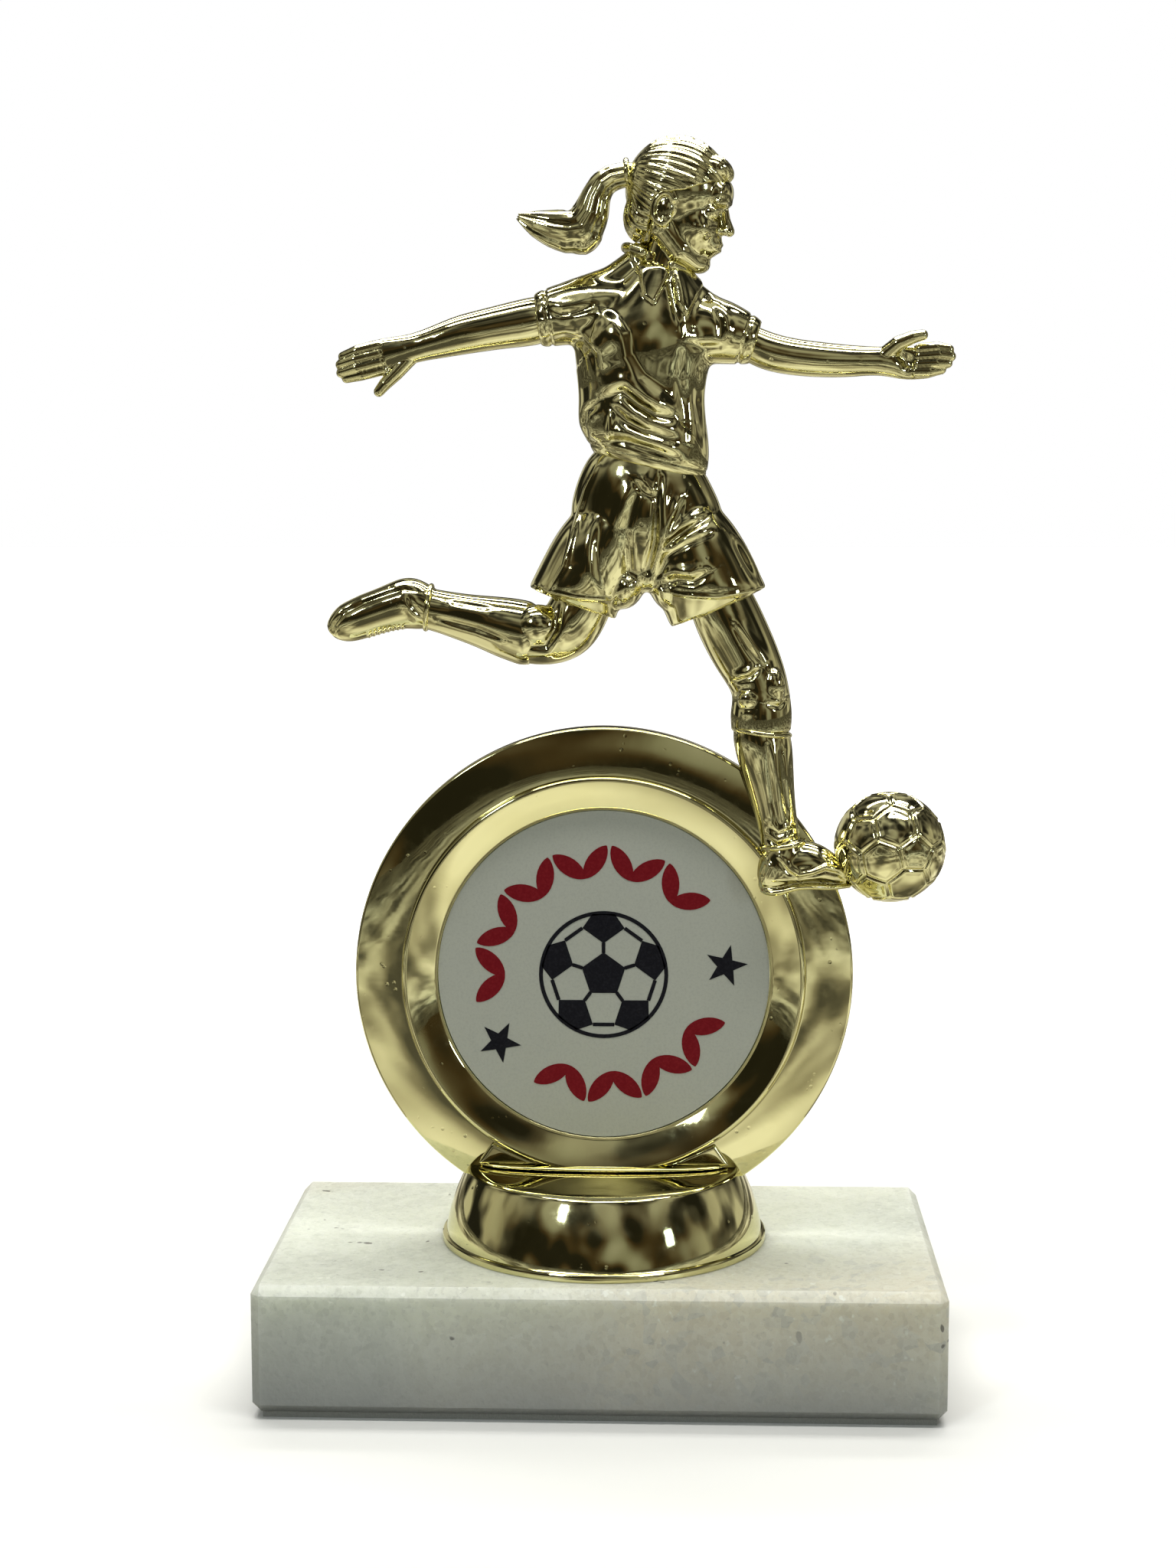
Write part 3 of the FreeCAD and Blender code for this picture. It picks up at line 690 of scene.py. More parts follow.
def ringGussets():
    s = gussetShape
    low = footTop + s["lift"]
    corners = [(s["near"], low), (s["far"], low), (s["far"] - s["lean"], low + s["top"])]
    pillows = []
    for side in (-1, 1):
        deselect()
        bpy.ops.mesh.primitive_cylinder_add(vertices=3, radius=1, depth=s["depth"], location=(0, 0, 0),
                                            rotation=(math.pi / 2, 0, 0))
        wedge = settle()
        coords = coordsOf(wedge)
        angles = np.round(np.arctan2(coords[:, 2], coords[:, 0]), 3)
        for angle, corner in zip(sorted(set(angles)), corners):
            coords[angles == angle, 0] = side * corner[0]
            coords[angles == angle, 2] = corner[1]
        setCoords(wedge, coords)
        pick(wedge)
        edit()
        faceOutwards()
        leave()
        pillows.append(wedge)
    gussets = melt(join("ringGussets", pillows), s["voxel"], s["passes"])
    finished(gussets, goldSmooth, nodes=["ring_gussets"])


printShape = {
    "ink": 0.05, "star": 3.35, "starNotch": 0.4, "stars": [(-16, -10.6, 207), (18.7, 1.5, 5)],
    "leafRadius": 17.5, "leafLength": 3.1, "leafWidth": 1.35, "leafLean": 38, "leafLift": 0.008,
    "arcs": [(41, 187, 12), (243, 333, 8)], "emblem": 9.6, "rim": 0.3, "patch": 3.5, "patchReach": 8.3,
    "outerPatch": 3.4, "seam": 0.28, "overlap": 0.1, "sharp": 30,
}


def flatShape(name, outline, lift=0.0):
    # a printed mark: a thin closed plate that lies on the disc, its points around the disc's centre
    ink = printShape["ink"]
    mesh = bpy.data.meshes.new(name)
    mesh.from_pydata([(x, 0, z) for x, z in outline], [], [list(range(len(outline)))])
    plate = bpy.data.objects.new(name, mesh)
    bpy.context.scene.collection.objects.link(plate)
    pick(plate)
    edit()
    faceOutwards()
    leave()
    modify(plate, "SOLIDIFY", thickness=ink, offset=0)
    coords = coordsOf(plate)
    coords[:, 1] += discFront - ink / 2 - lift
    coords[:, 2] += ringHeight
    setCoords(plate, coords)
    return plate


def spoke(angle, reach):
    return Vector((math.cos(angle), math.sin(angle))) * reach


def star(x, z, turn):
    s = printShape
    radii = [s["star"], s["star"] * s["starNotch"]] * 5
    arms = [spoke(math.radians(turn + 36 * i), radius) for i, radius in enumerate(radii)]
    return flatShape("star", [(x + arm.x, z + arm.y) for arm in arms])


def leaf(angle, lean, lift):
    s = printShape
    turn = Matrix.Rotation(angle + math.radians(lean), 2)
    points = []
    for i in range(24):
        t = 2 * math.pi * i / 24
        across = s["leafWidth"] * math.sin(t) * abs(math.sin(t)) ** 0.5
        points.append(spoke(angle, s["leafRadius"]) + turn @ Vector((s["leafLength"] * math.cos(t), across)))
    return flatShape("leaf", points, lift)


def stroke(start, end):
    side = (end - start).normalized()
    side = Vector((-side.y, side.x)) * printShape["seam"]
    return flatShape("stroke", [start - side, end - side, end + side, start + side])


def ballPatch(centre, size, turn):
    # a pentagon, cut off at the emblem's rim
    reach = printShape["emblem"]
    corners = []
    for k in range(5):
        corner = centre + spoke(math.radians(turn + 72 * k), size)
        corners.append(corner if corner.length < reach else corner.normalized() * reach)
    return flatShape("patch", corners)


def emblemMarks():
    s = printShape
    marks = []
    for outward in range(90, 450, 72):
        here, onward, left, right = [math.radians(outward + more) for more in (0, 72, 108, 324)]
        centre = spoke(here, s["patchReach"])
        marks.append(ballPatch(centre, s["outerPatch"], outward + 180))
        inner = spoke(here, s["patch"] - s["overlap"])
        marks.append(stroke(inner, spoke(here, s["patchReach"] - s["outerPatch"] + s["overlap"])))
        near = centre + spoke(left, s["outerPatch"])
        marks.append(stroke(near, spoke(onward, s["patchReach"]) + spoke(right, s["outerPatch"])))
    marks.append(ballPatch(Vector((0, 0)), s["patch"], 90))
    for k in range(72):
        first, second = [2 * math.pi * (k + j) / 72 for j in (0, 1)]
        outer, inner = s["emblem"] + s["rim"], s["emblem"] - s["rim"]
        corners = [spoke(first, inner), spoke(first, outer), spoke(second, outer), spoke(second, inner)]
        marks.append(flatShape("rim", corners))
    return marks


def discPrint():
    s = printShape
    finished(join("discStars", [star(*place) for place in s["stars"]]), inkBlack, angle=s["sharp"])
    leaves = []
    for start, end, count in s["arcs"]:
        for i in range(count):
            angle = math.radians(start + (end - start) * i / (count - 1))
            lean, lift = (s["leafLean"], s["leafLift"]) if i % 2 else (-s["leafLean"], 0.0)
            leaves.append(leaf(angle, lean, lift))
    finished(join("discLaurels", leaves), inkRed, angle=s["sharp"])
    finished(join("discEmblem", emblemMarks()), inkBlack, angle=s["sharp"])


insertRing()
footPiece()
ringCollar()
ringGussets()
discPrint()
print("ring, foot and print made")


# the figure: stations and folds as tube() and crease() read them, and a lump is (place, radii, turn)
shirtShape = {
    "torso": [
        (6.9, 0, 138.2, 77, 8.3, 6), (6.8, 0, 139.2, 77, 8.9, 6.6), (6.6, 0, 141.4, 81, 9.5, 7.1),
        (5.8, 0, 144.2, 86, 9.9, 7.2), (5.6, 0, 148, 88, 9.3, 6.8), (5.7, 0, 151.6, 90, 9.6, 6.9),
        (6, 0, 155.4, 90, 10.4, 7.4), (6.2, 0, 159.2, 91, 10.8, 7.2), (6.8, 0, 162.6, 92, 9.4, 6.2),
        (7.8, 0, 165.6, 90, 6.2, 5), (8.6, 0, 167.8, 84, 4.3, 4.2),
    ],
    "trailingSleeve": [
        (4, 0, 161.6, 186, 4.8, 5.2), (-2, 0, 161.7, 186, 5, 5), (-6, 0, 161.2, 188, 4.6, 4.6),
        (-9.3, -0.1, 160.3, 188, 4.25, 4.2), (-10.1, -0.1, 160.2, 188, 3.9, 3.9),
    ],
    "leadingSleeve": [
        (11, 0, 159.4, -12, 5, 5.2), (16.4, 0, 158.7, -14, 5.2, 5), (19.8, 0, 157.8, -16, 4.3, 4.2),
        (22.2, -0.1, 157, -16, 3.6, 3.6), (22.9, -0.1, 156.8, -16, 3.2, 3.2),
    ],
    "yokes": [
        [(6.6, 0, 169.4), (1.5, 0, 165.4), (-4.5, 0, 163.4)],
        [(10.2, 0, 165.6), (15, 0, 162), (18.5, 0, 160)],
    ],
    "yokeRadii": [[2.6, 2.9, 2.9], [2.6, 2.5, 2.6]],
    "bust": [((2.4, -3.2, 157.2), (4.3, 3.8, 4.2)), ((10.2, -2.8, 156.6), (3.7, 3.8, 4))],
    "voxel": 0.2, "skin": 0.36, "passes": 22, "drape": (0.75, 0.9, 7),
    "hems": [((6.8, 138.8), 77, 12, 1, 0.12), ((-9.2, 160.3), 188, 6), ((22, 157), -16, 5)],
    "flapHeight": 0.5, "flapEdge": 0.22,
}
shirtFolds = [
    (0.85, 0.8, [(0.2, 148.6), (3, 149.4), (5.4, 147.5), (7.8, 146.1), (10.6, 145.6)]),
    (0.75, 0.75, [(0.9, 147.6), (3.5, 145.2), (6.3, 143.7), (10.8, 142.3)]),
    (0.75, 0.65, [(0.1, 142.4), (3.5, 142.2), (6.8, 141.2), (11, 139.7)]),
    (0.5, 0.5, [(-0.9, 147.6), (-2.6, 146.6), (-3, 145), (-2.3, 142.6), (-1, 141.9)]),
    (0.45, 0.55, [(-9, 156.8), (-5.6, 157.5), (-3.2, 157), (-1.3, 154.9), (-0.9, 152.6)]),
    (0.4, 0.5, [(-8, 161.6), (-6.1, 160.9), (-3.9, 161.2), (-1.5, 161.9)]),
    (0.3, 0.55, [(12.3, 156.7), (14.9, 156), (18, 156.2)]),
    (0.3, 0.7, [(11.9, 156), (11.3, 151.3), (12.1, 145.7), (12.3, 140.5)]),
    (0.25, 0.55, [(14.2, 152.5), (13.8, 148), (14.5, 143.5)]),
    (0.35, 0.5, [(16.4, 162), (17.4, 159.6), (17.4, 157)]),
    (0.55, 0.45, [(9.5, 166.6), (10.3, 163.4), (11.1, 159.6)]),
]
shirtBackFolds = [
    (0.65, 0.8, [(-3, 149.6), (1.6, 148.2), (7.4, 148.6), (13.8, 149.8)]),
    (0.65, 0.7, [(-3.2, 145.4), (2.8, 144.2), (9, 144.4), (14.4, 145.8)]),
    (0.55, 0.6, [(-1, 141.8), (5.4, 141), (12.6, 141.8)]),
    (0.45, 1.1, [(6.9, 163.4), (6.4, 157), (6.2, 151.6)]),
    (0.45, 0.7, [(-2.6, 160.8), (1.2, 157.2), (2.4, 152.6)]),
    (0.45, 0.7, [(15.4, 158.8), (12.2, 156), (11, 152.2)]),
]
shirtRidges = [(0.3, 0.4, [(1.3, 146.9), (1.1, 142.6)])]
shirtDrape = [
    (10.6, 146.6), (8.7, 149.3), (5.8, 151.6), (3.9, 154.7), (3.5, 157.9), (2, 160.1), (-0.4, 161.7),
    (-4.5, 161),
]
collarFlaps = [
    [(5, 171.4), (8.4, 169), (9.7, 166.6), (7.5, 162.2), (6.1, 163.3), (5.6, 166.4), (3.6, 170.2)],
    [(10.3, 167.2), (13, 168), (14.6, 165.2), (12.3, 160.6), (11.1, 162.4)],
]


def shirtPiece():
    s = shirtShape
    shapes = [tube("torso", s["torso"], 40)]
    shapes += [tube("sleeve", s["trailingSleeve"]), tube("sleeve", s["leadingSleeve"])]
    shapes += [chain(points, radii) for points, radii in zip(s["yokes"], s["yokeRadii"])]
    shapes += [blob(*lump) for lump in s["bust"]]
    shirt = melt(join("shirt", shapes), s["skin"], s["passes"])
    melt(shirt, s["voxel"])
    drape(shirt, *s["drape"], shirtDrape)
    crease(shirt, shirtFolds)
    crease(shirt, shirtBackFolds, facing=1)
    ridge(shirt, shirtRidges)
    soften(shirt, 3)
    for corners in collarFlaps:
        raisePatch(shirt, s["flapHeight"], s["flapEdge"], corners)
    for hem in s["hems"]:
        hemLine(shirt, *hem)
    soften(shirt, 1, 0.4)
    finished(shirt, gold, nodes=["shirt", "trailing_sleeve", "leading_sleeve"])


napeShape = {
    "start": -62, "sweep": 304, "middle": (8, 0.2, 168.9), "wide": 4.7, "deep": 4.4, "slope": -0.42,
    "thickness": 0.8, "voxel": 0.14, "passes": 6,
}


def napeCollar():
    # the collar's stand behind the neck
    s = napeShape
    x, y, z = s["middle"]
    points = []
    for i in range(15):
        angle = math.radians(s["start"] + s["sweep"] * i / 14)
        across = s["wide"] * math.cos(angle)
        points.append((x + across, y + s["deep"] * math.sin(angle), z + s["slope"] * across))
    collar = melt(chain(points, [s["thickness"]] * len(points)), s["voxel"], s["passes"])
    collar.name = "napeCollar"
    finished(collar, gold)


shortsShape = {
    "waist": [
        (6.3, 0, 140.4, 264, 7.4, 5.2), (6.2, 0, 138.8, 265, 8.9, 6.1), (6.2, 0, 135.6, 267, 10.4, 6.7),
        (6.5, 0, 131, 270, 12, 7.1), (6.9, 0, 126.4, 270, 10, 6.6), (6.8, 0, 122.8, 270, 5.4, 4.8),
    ],
    "kicking": [
        (2.2, 0, 133, 262, 4.8, 5.4), (0, 0, 128.4, 256, 6.6, 6.7), (-2.2, 0, 123.4, 255, 7.1, 7),
        (-4.2, 0, 119.9, 261, 7, 7.2), (-4.5, 0, 119, 256, 7, 6.4), (-4.7, 0, 117.5, 248, 6.9, 5.3),
        (-4.3, 0, 118.6, 248, 5.9, 4.4),
    ],
    "standing": [
        (11.2, 0, 133, 280, 4.8, 5.4), (13, 0, 128.2, 284, 7.1, 6.9), (15, 0, 122.8, 287, 7.7, 7.1),
        (16.2, 0, 119.9, 279, 8.1, 7.2), (16.8, 0, 118.8, 286, 7.9, 6.5), (17.4, 0, 116.8, 294, 7.7, 5.4),
        (16.9, 0, 118, 294, 6.7, 4.5),
    ],
    "crotch": [
        ((3.6, 0, 120.6), (2.6, 5.4, 3.6), (0, 24, 0)), ((9.2, 0, 120.6), (2.4, 5.4, 3.8), (0, -20, 0)),
        ((6.4, 0, 122.4), (2.6, 5.2, 2.6)),
    ],
    "voxel": 0.2, "skin": 0.3, "passes": 9,
}
shortsFolds = [
    (0.55, 0.7, [(4, 122.4), (3.8, 126.2), (3.4, 129.5), (4.4, 132.9), (5.7, 135.6)]),
    (0.45, 0.75, [(0.2, 120.4), (-0.5, 123.4), (-0.7, 126.8), (-0.2, 130.6)]),
    (0.7, 0.5, [(8.4, 137), (8, 131.4), (7.8, 127.6), (7, 124.4), (6.2, 121.2)]),
    (0.4, 0.45, [(4.6, 136.6), (6.3, 134.8), (7.8, 134.1)]),
    (0.6, 0.5, [(9.2, 126.7), (12.1, 129.1), (15.9, 131.4)]),
    (0.45, 0.45, [(9.6, 128.2), (11.1, 131.4), (12.1, 133.8)]),
    (0.4, 0.4, [(9.2, 125.2), (12.6, 127.2), (16.4, 128.9)]),
    (0.75, 0.65, [(8.4, 120.9), (10.9, 121.9), (13.4, 121.7), (15.4, 122.8)]),
    (0.35, 0.45, [(19.6, 127.6), (21.2, 124.6), (22.8, 121.8)]),
]
shortsRidges = [
    (0.35, 0.35, [(-0.8, 138.8), (-2.5, 135.3), (-4, 130), (-5.7, 123.8), (-7.8, 120.2)]),
    (0.28, 0.28, [(-10.2, 121), (-7.6, 120), (-3.7, 119.3), (1.1, 118.8), (2.6, 120.2)]),
    (0.28, 0.28, [(8.2, 120.2), (12.1, 119.6), (17, 119.4), (21.8, 120.1), (24.3, 120.8)]),
]
shortsBackFolds = [
    (0.75, 0.9, [(6.6, 136), (6.8, 130), (6.9, 124), (6.6, 120.6)]),
    (0.5, 0.7, [(1.4, 126.6), (4.2, 125.6), (6.8, 125.8)]),
    (0.5, 0.7, [(6.8, 125.8), (10, 125.2), (14, 126.2)]),
    (0.45, 0.6, [(-0.6, 130.4), (-2.4, 124.6), (-3.4, 121.2)]),
    (0.45, 0.6, [(13.6, 130.4), (15.8, 125.2), (17.2, 121.6)]),
]


def shortsPiece():
    s = shortsShape
    shapes = [tube("waist", s["waist"], 40), tube("leg", s["kicking"], 36), tube("leg", s["standing"], 36)]
    shapes += [blob(*lump) for lump in s["crotch"]]
    shorts = melt(join("shorts", shapes), s["skin"], s["passes"])
    melt(shorts, s["voxel"])
    crease(shorts, shortsFolds)
    ridge(shorts, shortsRidges)
    crease(shorts, shortsBackFolds, facing=1)
    ridge(shorts, shortsRidges[1:], facing=1)
    soften(shorts, 4)
    finished(shorts, gold, nodes=["shorts"])


armShape = {
    "trailing": [
        (-7, 0, 160.8, 188, 3, 3), (-9.4, -0.2, 160.3, 189, 3.6, 3.5), (-12, -0.3, 159.8, 191, 3.55, 3.4),
        (-15, -0.5, 159.3, 191, 3.3, 3.2), (-18.6, -0.8, 158.6, 191, 3.1, 3),
        (-21.6, -0.9, 158, 193, 2.95, 2.8), (-25, -1, 157, 194, 2.5, 2.35),
        (-28, -1.1, 156.2, 194, 2.15, 1.9), (-30.4, -1.2, 155.6, 192, 2.35, 1.6),
        (-32.6, -1.2, 155.1, 193, 2.6, 1.4), (-34.6, -1.2, 154.5, 195, 2.75, 1.3),
        (-36.6, -1.2, 153.9, 196, 2.6, 1.1), (-38.2, -1.2, 153.4, 196, 2, 0.9),
    ],
    "trailingFingers": [
        [(-33.6, -1.7, 156.5), (-36.8, -1.9, 155.7), (-38.9, -1.6, 154.9)],
        [(-33.4, -1.9, 155.3), (-37, -2.1, 154.4), (-39.3, -1.7, 153.7)],
        [(-33.2, -1.9, 154.1), (-36.8, -2.1, 153.2), (-39.2, -1.7, 152.5)],
        [(-32.8, -1.7, 153), (-36, -1.9, 152.2), (-38.4, -1.6, 151.7)],
    ],
    "trailingThumb": [(-29, -1.2, 154.6), (-31, -1.7, 152.4), (-32.6, -2.1, 150.8), (-33.5, -2.2, 149.7)],
    "leading": [
        (19.6, 0, 157.6, -14, 2.6, 2.6), (22.2, -0.2, 156.6, -20, 2.75, 2.8),
        (24.4, -0.3, 155.5, -15, 2.85, 2.8), (28, -0.5, 154.7, -8, 2.75, 2.7),
        (32, -0.7, 154.3, -5, 2.65, 2.6), (36, -0.8, 154.05, -2, 2.45, 2.4),
        (39.6, -0.9, 154.1, 0, 2.15, 2), (42.2, -1, 154, 0, 2.2, 1.7), (44.4, -0.8, 153.8, 2, 2.6, 1.4),
        (46.6, -0.7, 153.8, 3, 2.6, 1.2), (48.8, -0.7, 153.9, 3, 2.4, 1), (50.4, -0.7, 154, 3, 1.8, 0.8),
    ],
    "leadingFingers": [
        [(46.9, -1.3, 155.8), (49.4, -1.7, 156), (51.2, -1.5, 155.7)],
        [(46.9, -1.3, 154.7), (49.8, -1.8, 154.9), (51.5, -1.6, 154.7)],
        [(46.7, -1.3, 153.6), (49.4, -1.8, 153.7), (51, -1.6, 153.7)],
        [(46.3, -1.2, 152.5), (48.4, -1.6, 152.5), (50.1, -1.4, 152.8)],
    ],
    "leadingThumb": [(41.2, -1.3, 154.6), (43.6, -2, 156.6), (45.8, -2.4, 157.5), (47.2, -2.4, 157.8)],
    "palm": [(-1.1, 0.9, [(43.9, 155.4), (45, 154.2), (45.4, 152.9)])],
    "fingerRadii": [0.86, 0.86, 0.74], "thumbRadii": [1.2, 1.1, 0.95, 0.8], "skin": 0.3, "passes": 8,
    "voxel": 0.13,
}


def armPiece(side):
    s = armShape
    arm = melt(tube(side + "Arm", s[side], 28), s["skin"], s["passes"])
    if side == "leading":
        ridge(arm, s["palm"])
    fingers = [chain(points, s["fingerRadii"]) for points in s[side + "Fingers"]]
    fingers.append(chain(s[side + "Thumb"], s["thumbRadii"]))
    arm = melt(join(side + "Arm", [arm] + fingers), s["voxel"], 6)
    finished(arm, gold, nodes=[f"{side}_arm", f"{side}_hand"])


# the head is made facing +x about its own middle, then tipped, turned and set on the neck; a sided feature is
# given for +y and mirrored
headShape = {
    "place": (11.2, 0, 177), "tip": 14, "turn": -12, "skin": 0.3, "passes": 12, "voxel": 0.14,
    "skull": [
        ((-0.6, 0, 2), (7.4, 6.1, 7.1)), ((2.4, 0, -2), (4.8, 4.9, 6.3)), ((5, 0, -7.6), (1.8, 2, 1.5)),
        ((6, 0, 2.6), (1.6, 3.8, 2.6)), ((6.3, 0, -4.4), (1.4, 2.2, 2)),
    ],
    "jaw": ([(-0.8, 4, -4), (2.4, 3.2, -6.6), (4.8, 0.8, -7.8)], [1.9, 1.7, 1.4]),
    "cheek": ((4.2, 2.8, -2.6), (2.1, 2, 2.1)), "socket": (6.9, 2.45, 0.1),
    "socketStretch": (1, 0.85, 1.25), "socketWidth": 1.6, "socketDepth": 0.95,
    "nose": ([(6.8, 0, 1.2), (7.5, 0, -0.6), (8.35, 0, -2.1)], [0.5, 0.62, 0.8]),
    "nostril": ((7.65, 0.82, -2.35), (0.75, 0.55, 0.5)),
    "lips": [((7.3, 0, -4.25), (0.62, 1.55, 0.42)), ((7.15, 0, -5.1), (0.72, 1.3, 0.5))],
    "brow": (
        [(6.3, -3.4, 1.5), (6.9, -1.6, 2), (6.9, 0, 1.7), (6.9, 1.6, 2), (6.3, 3.4, 1.5)],
        [0.45, 0.6, 0.55, 0.6, 0.45],
    ),
    "eye": ((5.55, 2.4, -0.05), (1.25, 1.45, 1.2)),
    "lid": ([(6.35, 1.25, 0.35), (6.85, 2.2, 0.72), (6.3, 3.5, 0.3)], [0.2, 0.32, 0.2]),
    "neck": [
        (8.2, 0.2, 163.6, 74, 4.2, 4), (8.8, 0.2, 167, 74, 3.9, 3.7), (9.8, 0.2, 170.4, 72, 3.6, 3.6),
        (10.8, 0.2, 173.6, 70, 3.7, 3.8),
    ],
}
earShape = {
    "middle": (-0.8, 6.1, -1.2), "start": -150, "sweep": 290, "reach": (-1.5, 0.3, 2.3),
    "thickness": 0.42,
    "lumps": [((-0.7, 5.5, -1.3), (1.35, 0.75, 2.1)), ((-0.3, 5.9, -3.1), (0.75, 0.6, 0.8))],
}


def headFrame():
    s = headShape
    tip = Matrix.Rotation(math.radians(s["tip"]), 4, "Y")
    turn = Matrix.Rotation(math.radians(s["turn"]), 4, "Z")
    return Matrix.Translation(s["place"]) @ turn @ tip


def onSide(place, side):
    return (place[0], place[1] * side, place[2])


def sidedBlob(lump, side):
    return blob(onSide(lump[0], side), lump[1])


def sidedChain(line, side):
    return chain([onSide(point, side) for point in line[0]], line[1])


def ear(side):
    s = earShape
    x, y, z = s["middle"]
    out, across, up = s["reach"]
    rim = []
    for i in range(11):
        angle = math.radians(s["start"] + s["sweep"] * i / 10)
        turned = math.cos(angle)
        rim.append((x + out * turned, (y + across * turned) * side, z + up * math.sin(angle)))
    return [chain(rim, [s["thickness"]] * len(rim))] + [sidedBlob(lump, side) for lump in s["lumps"]]


def headPiece():
    s = headShape
    shapes = [blob(*lump) for lump in s["skull"]]
    for side in (-1, 1):
        shapes += [sidedChain(s["jaw"], side), sidedBlob(s["cheek"], side)]
    head = melt(join("head", shapes), s["skin"], s["passes"])
    coords = coordsOf(head)
    sockets = np.zeros(len(coords))
    for side in (-1, 1):
        away = (coords - onSide(s["socket"], side)) * s["socketStretch"]
        sockets += bell(np.linalg.norm(away, axis=1), s["socketWidth"])
    pushOut(head, -s["socketDepth"] * sockets)
    details = [chain(*s["nose"])] + [blob(*lump) for lump in s["lips"]] + [chain(*s["brow"])]
    for side in (-1, 1):
        details += [sidedBlob(s["eye"], side), sidedChain(s["lid"], side), sidedBlob(s["nostril"], side)]
        details += ear(side)
    head = melt(join("head", [head] + details), s["voxel"], 5)
    head.data.transform(headFrame())
    head = melt(join("head", [head, tube("neck", s["neck"], 32)]), s["voxel"], 6)
    finished(head, gold, nodes=["head", "neck"])


hairShape = {
    "crown": ((-0.9, 0, 2.2), (7.75, 6.65, 7.65)), "nape": ((-4.2, 0, -2.2), (3.6, 4.9, 4.6)),
    "fringe": ((4.6, 0, 6.4), (2.4, 3.6, 1.5), (0, 28, 0)), "tailRoot": (3.4, 0.3, 182.2),
    "line": [
        (-7.5, -9), (-6.6, -4.2), (-5, -2.6), (-2.2, -2.6), (0.2, -2.2), (1.2, -0.6), (2, 1.8),
        (3.2, 3.6), (4.3, 5.4), (4.8, 9.5),
    ],
    "strands": (44, 27, 71), "depth": 0.16, "sunk": 1.9, "voxel": 0.16, "passes": 10,
}


def hairPiece():
    # strands run from the tail's root over the crown and sink into the skull beyond the hairline
    s = hairShape
    hair = blob(*s["crown"], segments=48)
    hair = melt(join("hair", [hair, blob(*s["nape"]), blob(*s["fringe"])]), s["voxel"], s["passes"])
    coords = coordsOf(hair)
    heights, edges = zip(*s["line"])
    beyond = step(coords[:, 0] - np.interp(coords[:, 2], heights, edges), -0.35, 0.5)
    middle = s["crown"][0]
    axis = np.array(headFrame().inverted() @ Vector(s["tailRoot"]) - Vector(middle))
    axis /= np.linalg.norm(axis)
    sideways = np.cross(axis, (0, 1, 0))
    sideways /= np.linalg.norm(sideways)
    rays = coords - middle
    rays /= np.linalg.norm(rays, axis=1)[:, None]
    angle = np.arctan2(rays @ np.cross(axis, sideways), rays @ sideways)
    spread = step(1 - rays @ axis, 0.02, 0.4)
    coarse, middling, fine = s["strands"]
    strands = np.sin(angle * coarse + 1.5 * np.sin(angle * 5))
    strands += 0.6 * np.sin(angle * middling + 1) + 0.5 * np.sin(angle * fine)
    pushOut(hair, s["depth"] * spread * strands * 0.5 * (1 - beyond) - s["sunk"] * beyond)
    soften(hair, 1, 0.4)
    hair.data.transform(headFrame())
    hair.name = "hair"
    finished(hair, gold, nodes=["hair"])


tailShape = {
    "stations": [
        (5, 0.3, 181.7, 178, 1.6, 1.6), (3, 0.3, 181.5, 180, 2, 1.9), (1.2, 0.3, 181.1, 196, 2.1, 2),
        (-0.3, 0.3, 180.1, 225, 2.2, 2.1), (-1.3, 0.3, 178.2, 246, 2.4, 2.3),
        (-1.9, 0.3, 175.8, 250, 2.9, 2.6), (-3.2, 0.3, 173.5, 222, 3.6, 3),
        (-5.2, 0.3, 173.2, 186, 3.5, 2.9), (-7.4, 0.3, 173.6, 172, 3, 2.5),
        (-10, 0.3, 174.4, 165, 2.2, 1.8), (-11.8, 0.3, 175.1, 160, 1.2, 1),
        (-12.8, 0.3, 175.5, 158, 0.5, 0.5),
    ],
    "bulb": ((-3.4, 0.3, 173.2), (3.3, 2.9, 3.4)), "strands": 9, "depth": 0.11, "fineStrands": 17,
    "voxel": 0.16, "passes": 9,
}


def ponytailPiece():
    s = tailShape
    tail = join("ponytail", [tube("tail", s["stations"], 40), blob(*s["bulb"])])
    melt(tail, s["voxel"], s["passes"])
    flat = coordsOf(tail)[:, [0, 2]]
    stations = np.array(s["stations"])
    centres = stations[:, [0, 2]]
    index = ropeDistance(flat, centres)[1] * (len(centres) - 1)
    low = np.clip(index.astype(int), 0, len(centres) - 2)
    share = (index - low)[:, None]
    centre = centres[low] * (1 - share) + centres[low + 1] * share
    heading = np.interp(index, np.arange(len(centres)), np.radians(stations[:, 3]))
    radius = np.interp(index, np.arange(len(centres)), stations[:, 4])
    across = ((flat - centre) * np.stack([-np.sin(heading), np.cos(heading)], axis=1)).sum(1) / radius
    strands = np.sin(across * s["strands"] + 0.8) + 0.5 * np.sin(across * s["fineStrands"] + 2)
    pushOut(tail, s["depth"] * strands)
    soften(tail, 1, 0.4)
    finished(tail, gold, nodes=["ponytail"])


tieShape = {"place": (3.4, 0.3, 181.8), "tip": 86, "reach": 1.75, "thickness": 0.42}


def hairTie():
    s = tieShape
    deselect()
    bpy.ops.mesh.primitive_torus_add(location=s["place"], rotation=(0, math.radians(s["tip"]), 0),
                                     major_radius=s["reach"], minor_radius=s["thickness"], major_segments=64,
                                     minor_segments=20)
    tie = bpy.context.object
    tie.name = "hairTie"
    finished(tie, gold)


